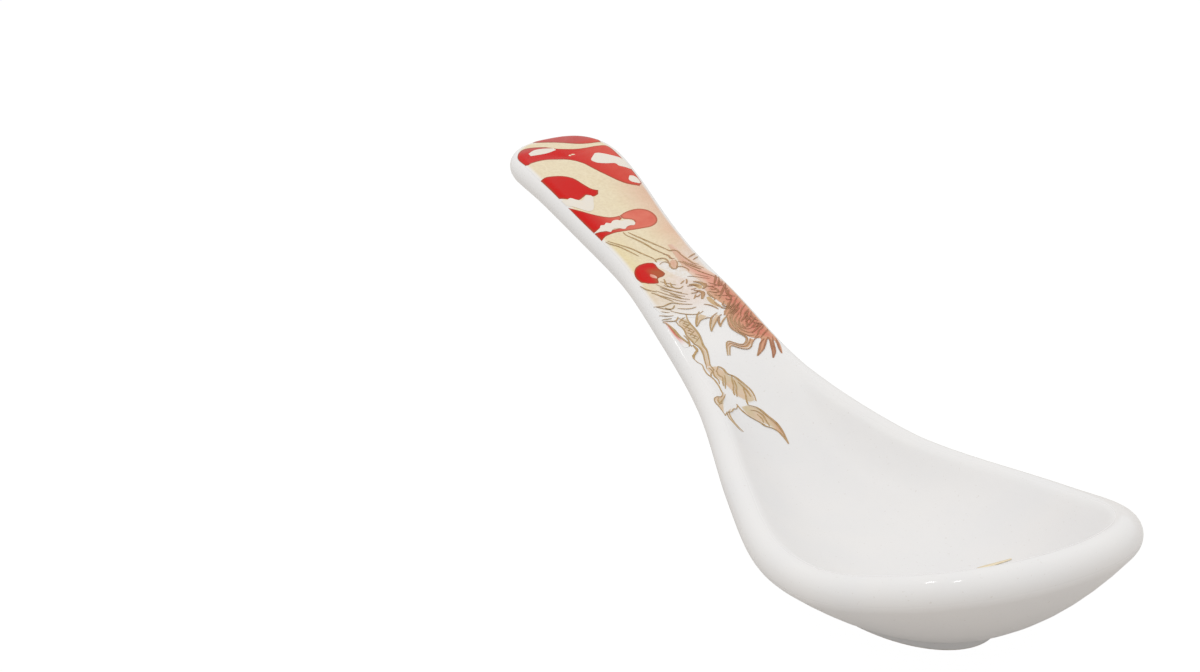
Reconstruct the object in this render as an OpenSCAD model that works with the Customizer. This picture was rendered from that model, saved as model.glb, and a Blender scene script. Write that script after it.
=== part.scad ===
// Chinese soup spoon in glazed porcelain. The bowl, the handle and the low foot are one
// fired piece. The colours of the transfer print lie on it as thin films.
// The origin is the centre of the foot, on its base. +X runs to the tip of the bowl and +Z is up.

/* [Spoon] */
// Length from the end of the handle to the tip of the bowl
spoon_len = 135; // [125:1:145]
// Height of the end of the handle above the table
handle_end_h = 37; // [32:1:45]
// Height of the lowest edge, where the handle meets the bowl
neck_h = 11.6; // [10:0.2:14]

/* [Handle] */
// Width across the end of the handle
handle_end_w = 17.2; // [15:0.2:20]
// Width across the waist of the handle
waist_w = 12.8; // [11:0.2:15]
// Width across the neck, where the bowl starts to open
neck_w = 17.4; // [16:0.2:20]
// Length of the rounded end of the handle
end_round = 9.4; // [8:0.2:12]
// Thickness of the handle
handle_t = 4; // [3.6:0.1:5]
// Depth of the shallow dish along the top of the handle
handle_dish = 0.4; // [0.1:0.05:0.6]

/* [Bowl] */
// Width across the bowl
bowl_w = 39; // [36:0.5:44]
// Length from the widest part of the bowl to its tip
tip_len = 25; // [22:0.5:30]
// Height of the rim at the widest part of the bowl
rim_h = 12.4; // [11:0.2:15]
// Height of the rim at the tip
tip_h = 18.6; // [15:0.2:22]
// Thickness of the rounded lip
lip_t = 4.2; // [3.2:0.1:4.6]
// Thickness of the floor of the bowl
floor_t = 3.8; // [2.6:0.1:4]

/* [Foot] */
// Length of the foot
foot_len = 36; // [30:1:38]
// Width of the foot
foot_w = 19; // [16:0.5:22]
// Height of the foot below the floor of the bowl
foot_h = 1; // [0.8:0.1:1.6]
// Width of the ring that the spoon stands on
foot_ring_w = 2.4; // [1.6:0.1:3]
// Depth of the hollow inside the ring
foot_hollow = 0.5; // [0.3:0.05:0.7]
// Distance from the tip of the bowl to the nearest end of the foot
foot_from_tip = 18; // [16:0.5:22]

/* [Print] */
// Thickness of a printed film
film_t = 0.05; // [0.04:0.01:0.1]
// Height of the lowest film above the glaze
film_seat = 0.05; // [0.04:0.01:0.1]
// Gap between two films where one lies over the other
film_gap = 0.03; // [0.02:0.01:0.05]
// Width of the finest printed lines at their middle
line_w = 0.32; // [0.24:0.02:0.5]
// Bare strip between the print and the edge of the handle
print_margin = 1; // [0.9:0.1:2]

/* [Hidden] */

// Places along the spoon, as shares of its length from the end of the handle: the waist, where the
// bowl starts to sink, the neck, the lowest edge, where the floor is level, and the print's end
waist_share = 0.28;
bowl_start_share = 0.445;
neck_share = 0.495;
low_edge_share = 0.645;
bowl_level_share = 0.69;
print_share = 0.555;

waist_at = spoon_len * waist_share;
bowl_start_at = spoon_len * bowl_start_share;
neck_at = spoon_len * neck_share;
low_edge_at = spoon_len * low_edge_share;
bowl_level_at = spoon_len * bowl_level_share;
print_len = spoon_len * print_share;
bowl_at = spoon_len - tip_len;
foot_at = spoon_len - foot_from_tip - foot_len / 2;
floor_z = foot_h + floor_t;

// How round the end of the handle and the tip of the bowl are, seen from above
end_power = 2.5;
tip_power = 2.15;
// How steeply the bowl's sides rise, inside and outside
inner_power = 2.6;
outer_power = 2.2;

// Shapes of the edge between the named places: [share of the way, share of the change]
end_to_waist_shares = [[0.26, 0.22]];
waist_to_neck_shares = [[0.45, 0.3]];
neck_to_bowl_shares = [[0.39, 0.46], [0.76, 0.9]];
handle_fall_shares = [[0.16, 0.09], [0.34, 0.28], [0.56, 0.51], [0.78, 0.8]];
// How far the foot's block reaches up into the floor of the bowl
foot_seat_share = 0.8;

// The print on the handle. Places are [share of the print's length, share of the width inside
// the bare strips], and y runs from -1 to 1.
// A patch is [layer, steps across, edge, other edge].
handle_cream_shares = [
    [0, 10,
        [[0.03, -0.5], [0.055, -0.8], [0.11, -0.96], [0.2, -1], [0.3, -1], [0.4, -1], [0.5, -1],
            [0.58, -1], [0.66, -0.95]],
        [[0.028, 0.45], [0.05, 0.76], [0.11, 0.96], [0.2, 1], [0.3, 1], [0.4, 1], [0.48, 1], [0.54, 1],
            [0.565, 0.8]]],
];
handle_red_shares = [
    [1, 5,
        [[0.03, -0.38], [0.018, -0.2], [0.014, 0.05], [0.017, 0.3], [0.03, 0.55], [0.052, 0.75],
            [0.08, 0.9]],
        [[0.034, -0.3], [0.042, -0.1], [0.052, 0.1], [0.065, 0.3], [0.078, 0.5], [0.088, 0.7],
            [0.096, 0.88]]],
    [1, 5,
        [[0.132, -0.97], [0.09, -0.96], [0.062, -0.8], [0.052, -0.55], [0.06, -0.25], [0.08, -0.02],
            [0.092, 0.25], [0.1, 0.5], [0.108, 0.75], [0.125, 0.92], [0.17, 0.95], [0.215, 0.98],
            [0.25, 1], [0.285, 1]],
        [[0.136, -0.92], [0.128, -0.78], [0.122, -0.62], [0.12, -0.45], [0.125, -0.28], [0.133, -0.1],
            [0.148, 0.05], [0.168, 0.16], [0.19, 0.23], [0.212, 0.31], [0.235, 0.41], [0.258, 0.52],
            [0.28, 0.67], [0.298, 0.88]]],
    [1, 4,
        [[0.205, -1], [0.2, -0.75], [0.203, -0.5], [0.218, -0.32], [0.245, -0.23], [0.265, -0.15],
            [0.275, -0.03]],
        [[0.28, -1], [0.293, -0.85], [0.299, -0.65], [0.29, -0.47], [0.284, -0.36], [0.293, -0.25],
            [0.288, -0.1]]],
    [1, 3,
        [[0.315, -1], [0.335, -0.87], [0.352, -0.65], [0.364, -0.45], [0.371, -0.25], [0.372, -0.06]],
        [[0.41, -1], [0.406, -0.85], [0.397, -0.65], [0.388, -0.45], [0.379, -0.25], [0.376, -0.06]]],
    [1, 3,
        [[0.37, -0.02], [0.364, 0.15], [0.362, 0.35], [0.367, 0.55], [0.382, 0.71], [0.404, 0.77],
            [0.422, 0.7], [0.43, 0.5], [0.427, 0.2], [0.424, -0.15], [0.425, -0.5], [0.434, -0.8],
            [0.442, -1]],
        [[0.378, -0.02], [0.382, 0], [0.386, 0.06], [0.389, 0.13], [0.393, 0.18], [0.398, 0.2],
            [0.403, 0.17], [0.406, 0.08], [0.409, -0.1], [0.412, -0.3], [0.415, -0.55], [0.418, -0.8],
            [0.414, -1]]],
    [1, 3,
        [[0.535, -0.36], [0.54, -0.55], [0.55, -0.75], [0.563, -0.9], [0.578, -0.97], [0.592, -0.95]],
        [[0.545, -0.27], [0.568, -0.21], [0.588, -0.25], [0.598, -0.45], [0.608, -0.65],
            [0.603, -0.85]]],
];
handle_pink_shares = [
    [1, 4,
        [[0.505, 0.42], [0.545, 0.5], [0.59, 0.52], [0.63, 0.57], [0.67, 0.5], [0.7, 0.44], [0.73, 0.5],
            [0.76, 0.38], [0.79, 0.42], [0.815, 0.52], [0.822, 0.66]],
        [[0.51, 0.52], [0.55, 0.64], [0.59, 0.75], [0.63, 0.86], [0.665, 0.98], [0.7, 1], [0.73, 1],
            [0.76, 1], [0.79, 1], [0.812, 1], [0.822, 0.98]]],
    [1, 2, [[0.826, 0.88], [0.842, 0.86], [0.858, 0.83]], [[0.827, 0.99], [0.843, 0.95], [0.859, 0.86]]],
    [1, 2, [[0.826, 0.74], [0.84, 0.72], [0.854, 0.67]], [[0.826, 0.86], [0.841, 0.8], [0.856, 0.7]]],
    [1, 2, [[0.824, 0.58], [0.831, 0.5], [0.838, 0.42]], [[0.826, 0.7], [0.836, 0.6], [0.841, 0.45]]],
    [1, 2, [[0.549, -0.04], [0.549, 0.15], [0.556, 0.31]], [[0.556, 0.02], [0.566, 0.13], [0.574, 0.24]]],
    [0, 1,
        [[0.712, -1], [0.735, -1], [0.76, -0.99], [0.785, -0.96]],
        [[0.714, -0.97], [0.735, -0.91], [0.76, -0.87], [0.786, -0.92]]],
];
handle_cloud_shares = [
    [2, 2,
        [[0.074, -0.1], [0.066, -0.3], [0.066, -0.5], [0.08, -0.68]],
        [[0.083, -0.08], [0.088, -0.28], [0.09, -0.5], [0.092, -0.68]]],
    [2, 3,
        [[0.137, 0.55], [0.148, 0.45], [0.162, 0.36], [0.178, 0.42], [0.19, 0.57], [0.2, 0.74],
            [0.214, 0.78], [0.23, 0.93]],
        [[0.14, 0.62], [0.152, 0.71], [0.165, 0.79], [0.176, 0.86], [0.185, 0.93], [0.198, 1],
            [0.214, 1], [0.232, 1]]],
    [2, 2,
        [[0.257, 0.83], [0.268, 0.76], [0.28, 0.8], [0.288, 0.9]],
        [[0.26, 0.92], [0.268, 0.97], [0.279, 0.98], [0.288, 0.96]]],
    [2, 2,
        [[0.288, -1], [0.299, -0.86], [0.304, -0.65], [0.297, -0.47], [0.29, -0.33]],
        [[0.305, -1], [0.325, -0.88], [0.34, -0.7], [0.325, -0.48], [0.305, -0.3]]],
    [2, 2,
        [[0.388, 0.08], [0.385, -0.15], [0.392, -0.4], [0.403, -0.65], [0.411, -0.9]],
        [[0.396, 0.14], [0.402, -0.1], [0.406, -0.4], [0.411, -0.65], [0.416, -0.88]]],
];
// A line is [layer, share of the line width, places]. From the end of the handle: horns and whiskers,
// the ear, the edge of the ground, eye, brow and cheek, jaw, beard, mane, curl, foreleg, paw and claws.
handle_line_shares = [
    [2, 1.3, [[0.43, -0.2], [0.46, 0.02], [0.49, 0.25], [0.515, 0.43], [0.54, 0.55]]],
    [2, 1.1, [[0.432, -0.33], [0.465, -0.1], [0.5, 0.08], [0.523, 0.25]]],
    [2, 1.2, [[0.453, -0.93], [0.468, -0.72], [0.488, -0.46], [0.505, -0.3], [0.53, -0.19],
            [0.56, -0.1]]],
    [2, 1, [[0.465, -0.93], [0.482, -0.75], [0.502, -0.56], [0.525, -0.46]]],
    [2, 1.1, [[0.531, -0.04], [0.533, 0.2], [0.546, 0.37], [0.563, 0.35], [0.577, 0.2]]],
    [2, 1.1, [[0.572, 0.98], [0.559, 0.86], [0.556, 0.7]]],
    [2, 1.6, [[0.627, 0.22], [0.63, 0.4], [0.64, 0.52]]],
    [2, 1.3, [[0.645, 0.42], [0.655, 0.25], [0.668, 0.05]]],
    [2, 1, [[0.656, 0.46], [0.672, 0.38], [0.688, 0.42], [0.7, 0.34]]],
    [1, 0.9, [[0.613, 0.2], [0.618, 0.02], [0.612, -0.12]]],
    [1, 1, [[0.622, -0.22], [0.613, -0.38], [0.614, -0.55]]],
    [1, 0.9, [[0.628, -0.3], [0.636, -0.14], [0.64, 0.03]]],
    [2, 1.5, [[0.657, -0.5], [0.668, -0.6], [0.682, -0.72]]],
    [0, 1.1, [[0.72, 0.36], [0.733, 0.22], [0.75, 0.13]]],
    [0, 1, [[0.735, 0.34], [0.742, 0.27], [0.752, 0.19]]],
    [0, 1.1, [[0.712, 0.2], [0.725, 0.04], [0.742, -0.06], [0.757, -0.12]]],
    [0, 1, [[0.722, 0.18], [0.733, 0.06], [0.75, -0.02]]],
    [0, 1.1, [[0.706, -0.02], [0.714, -0.18], [0.725, -0.28], [0.74, -0.37]]],
    [0, 1, [[0.716, -0.03], [0.725, -0.15], [0.738, -0.27]]],
    [2, 1.4, [[0.74, 0.4], [0.765, 0.35], [0.785, 0.4], [0.8, 0.48]]],
    [0, 1.5, [[0.812, 0.43], [0.82, 0.33], [0.812, 0.18], [0.798, 0.08], [0.805, -0.04],
            [0.824, -0.16]]],
    [0, 1, [[0.804, 0.38], [0.807, 0.28], [0.799, 0.17]]],
    [0, 1.3, [[0.708, -0.37], [0.735, -0.41], [0.765, -0.43], [0.795, -0.5], [0.825, -0.56],
            [0.848, -0.62]]],
    [0, 1.3, [[0.762, -0.79], [0.782, -0.72], [0.802, -0.71], [0.814, -0.82]]],
    [0, 1.2, [[0.824, -0.81], [0.845, -0.8], [0.868, -0.73], [0.89, -0.66]]],
    [0, 1.4, [[0.842, -0.48], [0.857, -0.38], [0.866, -0.24], [0.882, -0.12], [0.905, -0.06]]],
    [0, 1.5, [[0.92, -0.3], [0.926, -0.17], [0.942, -0.06], [0.965, 0.01], [0.985, 0.04], [1, 0.03]]],
    [0, 1.3, [[0.966, -0.08], [0.955, -0.2], [0.945, -0.33], [0.926, -0.45], [0.936, -0.6],
            [0.955, -0.76]]],
    [0, 1.2, [[0.934, -0.21], [0.945, -0.15], [0.956, -0.09]]],
    [0, 1.2, [[0.898, -0.62], [0.911, -0.72], [0.92, -0.86], [0.938, -0.88], [0.962, -0.83],
            [0.985, -0.66]]],
    [0, 1, [[0.91, -0.6], [0.923, -0.7], [0.935, -0.8]]],
];
// A bundle of strands is [layer, share of the line width, how many, first strand, last strand].
handle_strand_shares = [
    [2, 1, 4,
        [[0.53, 0.48], [0.575, 0.55], [0.62, 0.61], [0.66, 0.57], [0.7, 0.5]],
        [[0.55, 0.62], [0.59, 0.72], [0.63, 0.82], [0.67, 0.93], [0.71, 0.96]]],
    [2, 1.1, 5,
        [[0.715, 0.92], [0.728, 0.72], [0.742, 0.56], [0.758, 0.45]],
        [[0.785, 0.97], [0.8, 0.82], [0.815, 0.66], [0.832, 0.5]]],
    [2, 1.2, 3,
        [[0.796, 0.96], [0.815, 0.84], [0.835, 0.77], [0.852, 0.69]],
        [[0.82, 0.99], [0.834, 0.95], [0.846, 0.9], [0.857, 0.85]]],
    [1, 0.9, 4,
        [[0.612, -0.98], [0.628, -0.8], [0.648, -0.52], [0.668, -0.25], [0.682, -0.05]],
        [[0.665, -1], [0.671, -0.85], [0.677, -0.6], [0.688, -0.35], [0.698, -0.1]]],
    [1, 0.9, 3,
        [[0.696, -0.32], [0.69, -0.55], [0.686, -0.8], [0.682, -0.98]],
        [[0.708, -0.48], [0.714, -0.65], [0.712, -0.85], [0.7, -1]]],
    [0, 0.9, 6,
        [[0.716, -0.46], [0.724, -0.57], [0.738, -0.7]],
        [[0.785, -0.55], [0.79, -0.6], [0.797, -0.65]]],
    [0, 0.9, 5,
        [[0.851, -0.52], [0.863, -0.57], [0.878, -0.61]],
        [[0.895, -0.15], [0.903, -0.22], [0.913, -0.28]]],
];
// The print in the bowl. Places are [share of the tip's length past the widest part, share of
// half the bowl's width].
bowl_red_shares = [
    [1, 4,
        [[-0.03, -0.28], [0, -0.42], [0.1, -0.47], [0.2, -0.42], [0.25, -0.28]],
        [[-0.03, -0.27], [0, -0.14], [0.1, -0.09], [0.2, -0.14], [0.25, -0.27]]],
];
bowl_line_shares = [
    [1, 1.8, [[0.065, 0.44], [0.03, 0.37], [-0.005, 0.3], [0, 0.2], [-0.05, 0.12], [-0.07, 0],
        [-0.13, -0.12], [-0.12, -0.26]]],
    [1, 1.4, [[0.29, 0.36], [0.21, 0.3], [0.17, 0.2], [0.21, 0.11], [0.27, 0.15]]],
    [1, 1.6, [[0.3, -0.02], [0.37, -0.08], [0.42, -0.18], [0.38, -0.3], [0.4, -0.42]]],
    [1, 1.2, [[0.06, 0.02], [0.12, 0.05], [0.2, 0.02], [0.27, -0.06]]],
];

// Steps round the end of the handle, along the sides, round the tip and across a section
end_steps = 8;
side_steps = 38;
tip_steps = 13;
top_steps = 9;
lip_steps = 9;
under_steps = 6;
foot_steps = 72;
print_steps = 2;
least_line_share = 0.4;

function lerp(a, b, t) = a + (b - a) * t;
function smooth(t) = let (c = max(0, min(1, t))) c * c * (3 - 2 * c);

// A smooth curve through [place, value] knots. flat makes it level at both ends.
function knot_slope(k, i, flat) =
    let (last = len(k) - 1, a = max(i - 1, 0), b = min(i + 1, last))
    flat && (i == 0 || i == last) ? 0 : (k[b][1] - k[a][1]) / (k[b][0] - k[a][0]);
function knot_span(k, x, i = 0) =
    (i >= len(k) - 2 || x < k[i + 1][0]) ? i : knot_span(k, x, i + 1);
function curve(k, x, flat = false) =
    let (
        i = knot_span(k, x),
        w = k[i + 1][0] - k[i][0],
        t = (x - k[i][0]) / w,
        a = k[i][1],
        b = k[i + 1][1],
        p = w * knot_slope(k, i, flat),
        q = w * knot_slope(k, i + 1, flat)
    )
    a + p * t + (3 * (b - a) - 2 * p - q) * t * t + (2 * (a - b) + p + q) * t * t * t;

// Knots between two named places, from a table of shares
function between(x0, x1, v0, v1, shares) =
    [for (s = shares) [lerp(x0, x1, s[0]), lerp(v0, v1, s[1])]];

width_knots = concat(
    [[end_round, handle_end_w]],
    between(end_round, waist_at, handle_end_w, waist_w, end_to_waist_shares),
    [[waist_at, waist_w]],
    between(waist_at, neck_at, waist_w, neck_w, waist_to_neck_shares),
    [[neck_at, neck_w]],
    between(neck_at, bowl_at, neck_w, bowl_w, neck_to_bowl_shares),
    [[bowl_at, bowl_w]]
);
height_knots = concat(
    [[0, handle_end_h]],
    between(0, low_edge_at, handle_end_h, neck_h, handle_fall_shares),
    [[low_edge_at, neck_h], [bowl_at, rim_h], [spoon_len, tip_h]]
);
function half_width(x) = curve(width_knots, x, true) / 2;
function edge_height(x) = curve(height_knots, x);
function bowl_share(x) = smooth((x - bowl_start_at) / (bowl_level_at - bowl_start_at));

// A station is [x of the edge, half width there, x that the section starts from]
function end_station(a) = [
    end_round * (1 - pow(cos(a), 2 / end_power)),
    handle_end_w / 2 * pow(sin(a), 2 / end_power),
    end_round
];
function side_station(x) = [x, half_width(x), x];
function tip_station(a) = [
    bowl_at + tip_len * pow(sin(a), 2 / tip_power),
    bowl_w / 2 * pow(cos(a), 2 / tip_power),
    bowl_at
];
stations = concat(
    [for (i = [0:end_steps - 1]) end_station(90 * i / end_steps)],
    [for (i = [0:side_steps]) side_station(lerp(end_round, bowl_at, i / side_steps))],
    [for (i = [1:tip_steps]) tip_station(90 * i / tip_steps)]
);

// The section from the middle of the spoon out to one point of its edge:
// [lip radius, lip centre, crest height, top, underside], where top and underside are
// [height in the middle, reach, height where the lip starts, power, angle of the lip]
function section(s) =
    let (
        reach = norm([s[0] - s[2], s[1]]),
        lengthwise = abs(s[0] - s[2]) / reach,
        b = bowl_share(s[2]),
        r = lerp(handle_t, lip_t, b) / 2,
        lip = reach - r,
        crest_x = lerp(s[2] + (s[0] - s[2]) * lip / reach, s[0], b),
        h = edge_height(crest_x),
        middle_h = edge_height(s[2]),
        top_z = lerp(middle_h - handle_dish, floor_z, b),
        under_z = lerp(middle_h - handle_t, foot_h, b),
        side_power = lerp(2, 1, lengthwise),
        p = lerp(side_power, inner_power, b),
        q = lerp(side_power, outer_power, b),
        top_a = atan(p * (h - top_z) / lip),
        under_a = atan(q * (h - 2 * r - under_z) / lip)
    )
    [
        r, lip, h,
        [top_z, lip - r * sin(top_a), h - r + r * cos(top_a), p, top_a],
        [under_z, lip + r * sin(under_a), h - r - r * cos(under_a), q, under_a]
    ];
function face_height(f, t) = f[0] + (f[2] - f[0]) * pow(t, f[3]);

// Points [distance from the middle, height] of a section, from the top round to the underside
function section_points(c) =
    let (r = c[0], lip = c[1], h = c[2], top = c[3], under = c[4])
    concat(
        [for (i = [1:top_steps]) let (t = i / (top_steps + 1)) [t * top[1], face_height(top, t)]],
        [for (i = [0:lip_steps]) let (a = lerp(90 + top[4], under[4] - 90, i / lip_steps))
            [lip + r * cos(a), h - r + r * sin(a)]],
        [for (i = [under_steps:-1:1]) let (t = i / (under_steps + 1))
            [t * under[1], face_height(under, t)]]
    );

// Station i of the left side, or of the right side when side is -1, as points in space
function station_points(s, side) =
    let (reach = norm([s[0] - s[2], s[1]]), d = [(s[0] - s[2]) / reach, s[1] / reach])
    [for (p = section_points(section(s))) [s[2] + d[0] * p[0] - foot_at, side * d[1] * p[0], p[1]]];

module body_shell() {
    left = [for (s = stations) station_points(s, 1)];
    right = [for (s = stations) station_points(s, -1)];
    last = len(stations) - 1;
    loop = 2 * last;
    rings = len(left[0]);
    points = [for (j = [0:rings - 1], m = [0:loop - 1]) m <= last ? left[m][j] : right[loop - m][j]];
    function at(j, m) = j * loop + m % loop;
    function strip(j, up) = [
        for (i = [0:last - 1])
            let (a = at(j, i), b = at(j, i + 1), c = at(j, loop - i - 1), d = at(j, loop - i))
            for (f = [[a, b, c], [a, c, d]])
                if (f[0] != f[1] && f[1] != f[2] && f[0] != f[2]) up ? f : [f[2], f[1], f[0]]
    ];
    sides = [
        for (j = [0:rings - 2], m = [0:loop - 1])
            let (a = at(j, m), b = at(j, m + 1), c = at(j + 1, m), d = at(j + 1, m + 1))
                for (f = [[a, c, d], [a, d, b]]) f
    ];
    polyhedron(points, concat(strip(0, true), sides, strip(rings - 1, false)), convexity = 6);
}

// Height of the top of the spoon at a place [x from the end of the handle, y]
function round_reach(dx, dy, a, b, power) =
    1 / pow(pow(abs(dx) / a, power) + pow(abs(dy) / b, power), 1 / power);
function station_through(x, y) =
    let (start = max(end_round, min(bowl_at, x)), dx = x - start)
    dx == 0 ? side_station(x) :
    let (
        d = norm([dx, y]),
        reach = dx < 0
            ? round_reach(dx / d, y / d, end_round, handle_end_w / 2, end_power)
            : round_reach(dx / d, y / d, tip_len, bowl_w / 2, tip_power)
    )
    [start + reach * dx / d, reach * abs(y) / d, start];
function top_height(x, y) =
    let (s = station_through(x, y), c = section(s), top = c[3], d = norm([x - s[2], y]))
    d <= top[1]
        ? face_height(top, d / top[1])
        : c[2] - c[0] + sqrt(max(0, c[0] * c[0] - (d - c[1]) * (d - c[1])));

// A smooth run of points through the places in a list
function run_point(k, i, t) =
    let (a = k[max(i - 1, 0)], b = k[i], c = k[i + 1], d = k[min(i + 2, len(k) - 1)])
    (2 * b + (c - a) * t + (2 * a - 5 * b + 4 * c - d) * t * t + (3 * b - a - 3 * c + d) * t * t * t) / 2;
function run(k) = concat(
    [for (i = [0:len(k) - 2], j = [0:print_steps - 1]) run_point(k, i, j / print_steps)],
    [k[len(k) - 1]]
);

function handle_place(p) =
    let (x = p[0] * print_len)
    [x, p[1] * (half_width(max(end_round, x)) - print_margin)];
function bowl_place(p) = [bowl_at + p[0] * tip_len, p[1] * bowl_w / 2];

// Rows of points across a patch between its two edges, closest at the edges
function patch_rows(steps, a, b) = [
    for (i = [0:len(a) - 1]) [for (j = [0:steps]) lerp(a[i], b[i], (1 - cos(180 * j / steps)) / 2)]
];
// Strand i of a bundle, from its first strand to its last
function strand(t, i) = [for (k = [0:len(t[3]) - 1]) lerp(t[3][k], t[4][k], i / (t[2] - 1))];
// Rows of points across a line of some width along the middle points c
function line_rows(w, c) = [
    for (i = [0:len(c) - 1])
        let (
            d = c[min(i + 1, len(c) - 1)] - c[max(i - 1, 0)],
            half = w / 2 * lerp(least_line_share, 1, sin(180 * i / (len(c) - 1))),
            n = [-d[1], d[0]] * half / norm(d)
        )
        [c[i] - n, c[i] + n]
];

// A film over the glaze from rows of places. A higher layer lies over a lower one.
module film(rows, layer) {
    n = len(rows);
    m = len(rows[0]);
    outline = concat([for (r = rows) r[0]], [for (i = [n - 1:-1:0]) rows[i][m - 1]]);
    turn = [for (p = outline) p[0]]
        * [for (i = [0:2 * n - 1]) outline[(i + 1) % (2 * n)][1] - outline[(i + 2 * n - 1) % (2 * n)][1]];
    base = film_seat + layer * (film_t + film_gap);
    points = [
        for (z = [base, base + film_t], r = rows, j = [0:m - 1])
            let (p = r[turn > 0 ? j : m - 1 - j]) [p[0] - foot_at, p[1], top_height(p[0], p[1]) + z]
    ];
    function at(up, i, j) = (up * n + i) * m + j;
    function wall(a, b) = [[at(0, a[0], a[1]), at(1, a[0], a[1]), at(1, b[0], b[1])],
        [at(0, a[0], a[1]), at(1, b[0], b[1]), at(0, b[0], b[1])]];
    faces = concat(
        [for (i = [0:n - 2], j = [0:m - 2])
            for (f = [[at(1, i, j), at(1, i, j + 1), at(1, i + 1, j + 1)],
                [at(1, i, j), at(1, i + 1, j + 1), at(1, i + 1, j)],
                [at(0, i, j), at(0, i + 1, j + 1), at(0, i, j + 1)],
                [at(0, i, j), at(0, i + 1, j), at(0, i + 1, j + 1)]])
                f],
        [for (i = [0:n - 2], f = wall([i, 0], [i + 1, 0])) f],
        [for (i = [0:n - 2], f = wall([i + 1, m - 1], [i, m - 1])) f],
        [for (j = [0:m - 2], f = wall([0, j + 1], [0, j])) f],
        [for (j = [0:m - 2], f = wall([n - 1, j], [n - 1, j + 1])) f]
    );
    polyhedron(points, faces, convexity = 8);
}
module handle_patches(table) {
    for (t = table) {
        a = run([for (p = t[2]) handle_place(p)]);
        b = run([for (p = t[3]) handle_place(p)]);
        film(patch_rows(t[1], a, b), t[0]);
    }
}

// An ellipse with its centre at the origin
module oval(length, width) {
    polygon([for (i = [0:foot_steps - 1]) let (a = 360 * i / foot_steps)
        [length / 2 * cos(a), width / 2 * sin(a)]]);
}

module foot() {
    difference() {
        linear_extrude(foot_h + floor_t * foot_seat_share) oval(foot_len, foot_w);
        translate([0, 0, -foot_hollow])
            linear_extrude(2 * foot_hollow)
                oval(foot_len - 2 * foot_ring_w, foot_w - 2 * foot_ring_w);
    }
}

module spoon_body() {
    color("white")
        union() {
            body_shell();
            foot();
        }
}

module handle_cream_print() {
    color("wheat") handle_patches(handle_cream_shares);
}

module handle_red_print() {
    color("firebrick") handle_patches(handle_red_shares);
}

module handle_pink_print() {
    color("salmon") handle_patches(handle_pink_shares);
}

module handle_cloud_print() {
    color("ivory") handle_patches(handle_cloud_shares);
}

module handle_gold_print() {
    color("goldenrod") {
        for (t = handle_line_shares)
            film(line_rows(t[1] * line_w, run([for (p = t[2]) handle_place(p)])), t[0]);
        for (t = handle_strand_shares, i = [0:t[2] - 1])
            film(line_rows(t[1] * line_w, run([for (p = strand(t, i)) handle_place(p)])), t[0]);
    }
}

module bowl_red_print() {
    color("firebrick")
        for (t = bowl_red_shares) {
            a = run([for (p = t[2]) bowl_place(p)]);
            b = run([for (p = t[3]) bowl_place(p)]);
            film(patch_rows(t[1], a, b), t[0]);
        }
}

module bowl_gold_print() {
    color("goldenrod")
        for (t = bowl_line_shares)
            film(line_rows(t[1] * line_w, run([for (p = t[2]) bowl_place(p)])), t[0]);
}

spoon_body();
handle_cream_print();
handle_red_print();
handle_pink_print();
handle_cloud_print();
handle_gold_print();
bowl_red_print();
bowl_gold_print();
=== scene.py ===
"""Porcelain soup spoon: builds its looks round the packed model."""

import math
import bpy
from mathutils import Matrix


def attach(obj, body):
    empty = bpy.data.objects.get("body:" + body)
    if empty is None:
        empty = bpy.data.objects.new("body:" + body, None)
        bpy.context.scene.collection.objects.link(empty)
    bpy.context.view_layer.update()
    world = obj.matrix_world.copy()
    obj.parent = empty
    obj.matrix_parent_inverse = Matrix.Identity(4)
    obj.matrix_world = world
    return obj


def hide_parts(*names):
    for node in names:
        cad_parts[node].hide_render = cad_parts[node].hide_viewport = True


bl_info = {
    "name": "Porcelain Soup Spoon",
    "version": (1, 0, 0),
    "blender": (4, 5, 0),
    "location": "3D View > Sidebar > Soup Spoon",
    "description": "A glazed soup spoon with a printed handle and bowl",
    "category": "Add Mesh",
}

import bmesh
import bpy
import numpy as np
from bpy.props import FloatProperty, FloatVectorProperty, IntProperty, PointerProperty
from bpy.types import Operator, Panel, PropertyGroup
from mathutils import Matrix, Vector

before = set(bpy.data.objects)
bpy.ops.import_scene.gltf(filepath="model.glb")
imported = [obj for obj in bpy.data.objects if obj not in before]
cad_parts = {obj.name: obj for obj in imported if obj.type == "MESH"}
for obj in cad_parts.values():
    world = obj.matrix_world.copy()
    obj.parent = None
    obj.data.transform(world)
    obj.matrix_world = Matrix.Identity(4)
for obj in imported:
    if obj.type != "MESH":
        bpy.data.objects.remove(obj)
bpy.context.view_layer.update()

MM = 0.001
ROOT = "root"


# Sizes and colours


def length(name, mm, about):
    return FloatProperty(name=name, description=about, default=mm * MM, min=0.0, unit="LENGTH")


def colour(name, rgb, about):
    return FloatVectorProperty(
        name=name, description=about, default=rgb, min=0.0, max=1.0, subtype="COLOR", size=3
    )


def number(name, value, about, least=0.0):
    return FloatProperty(name=name, description=about, default=value, min=least)


def count(name, value, about):
    return IntProperty(name=name, description=about, default=value, min=1)


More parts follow.
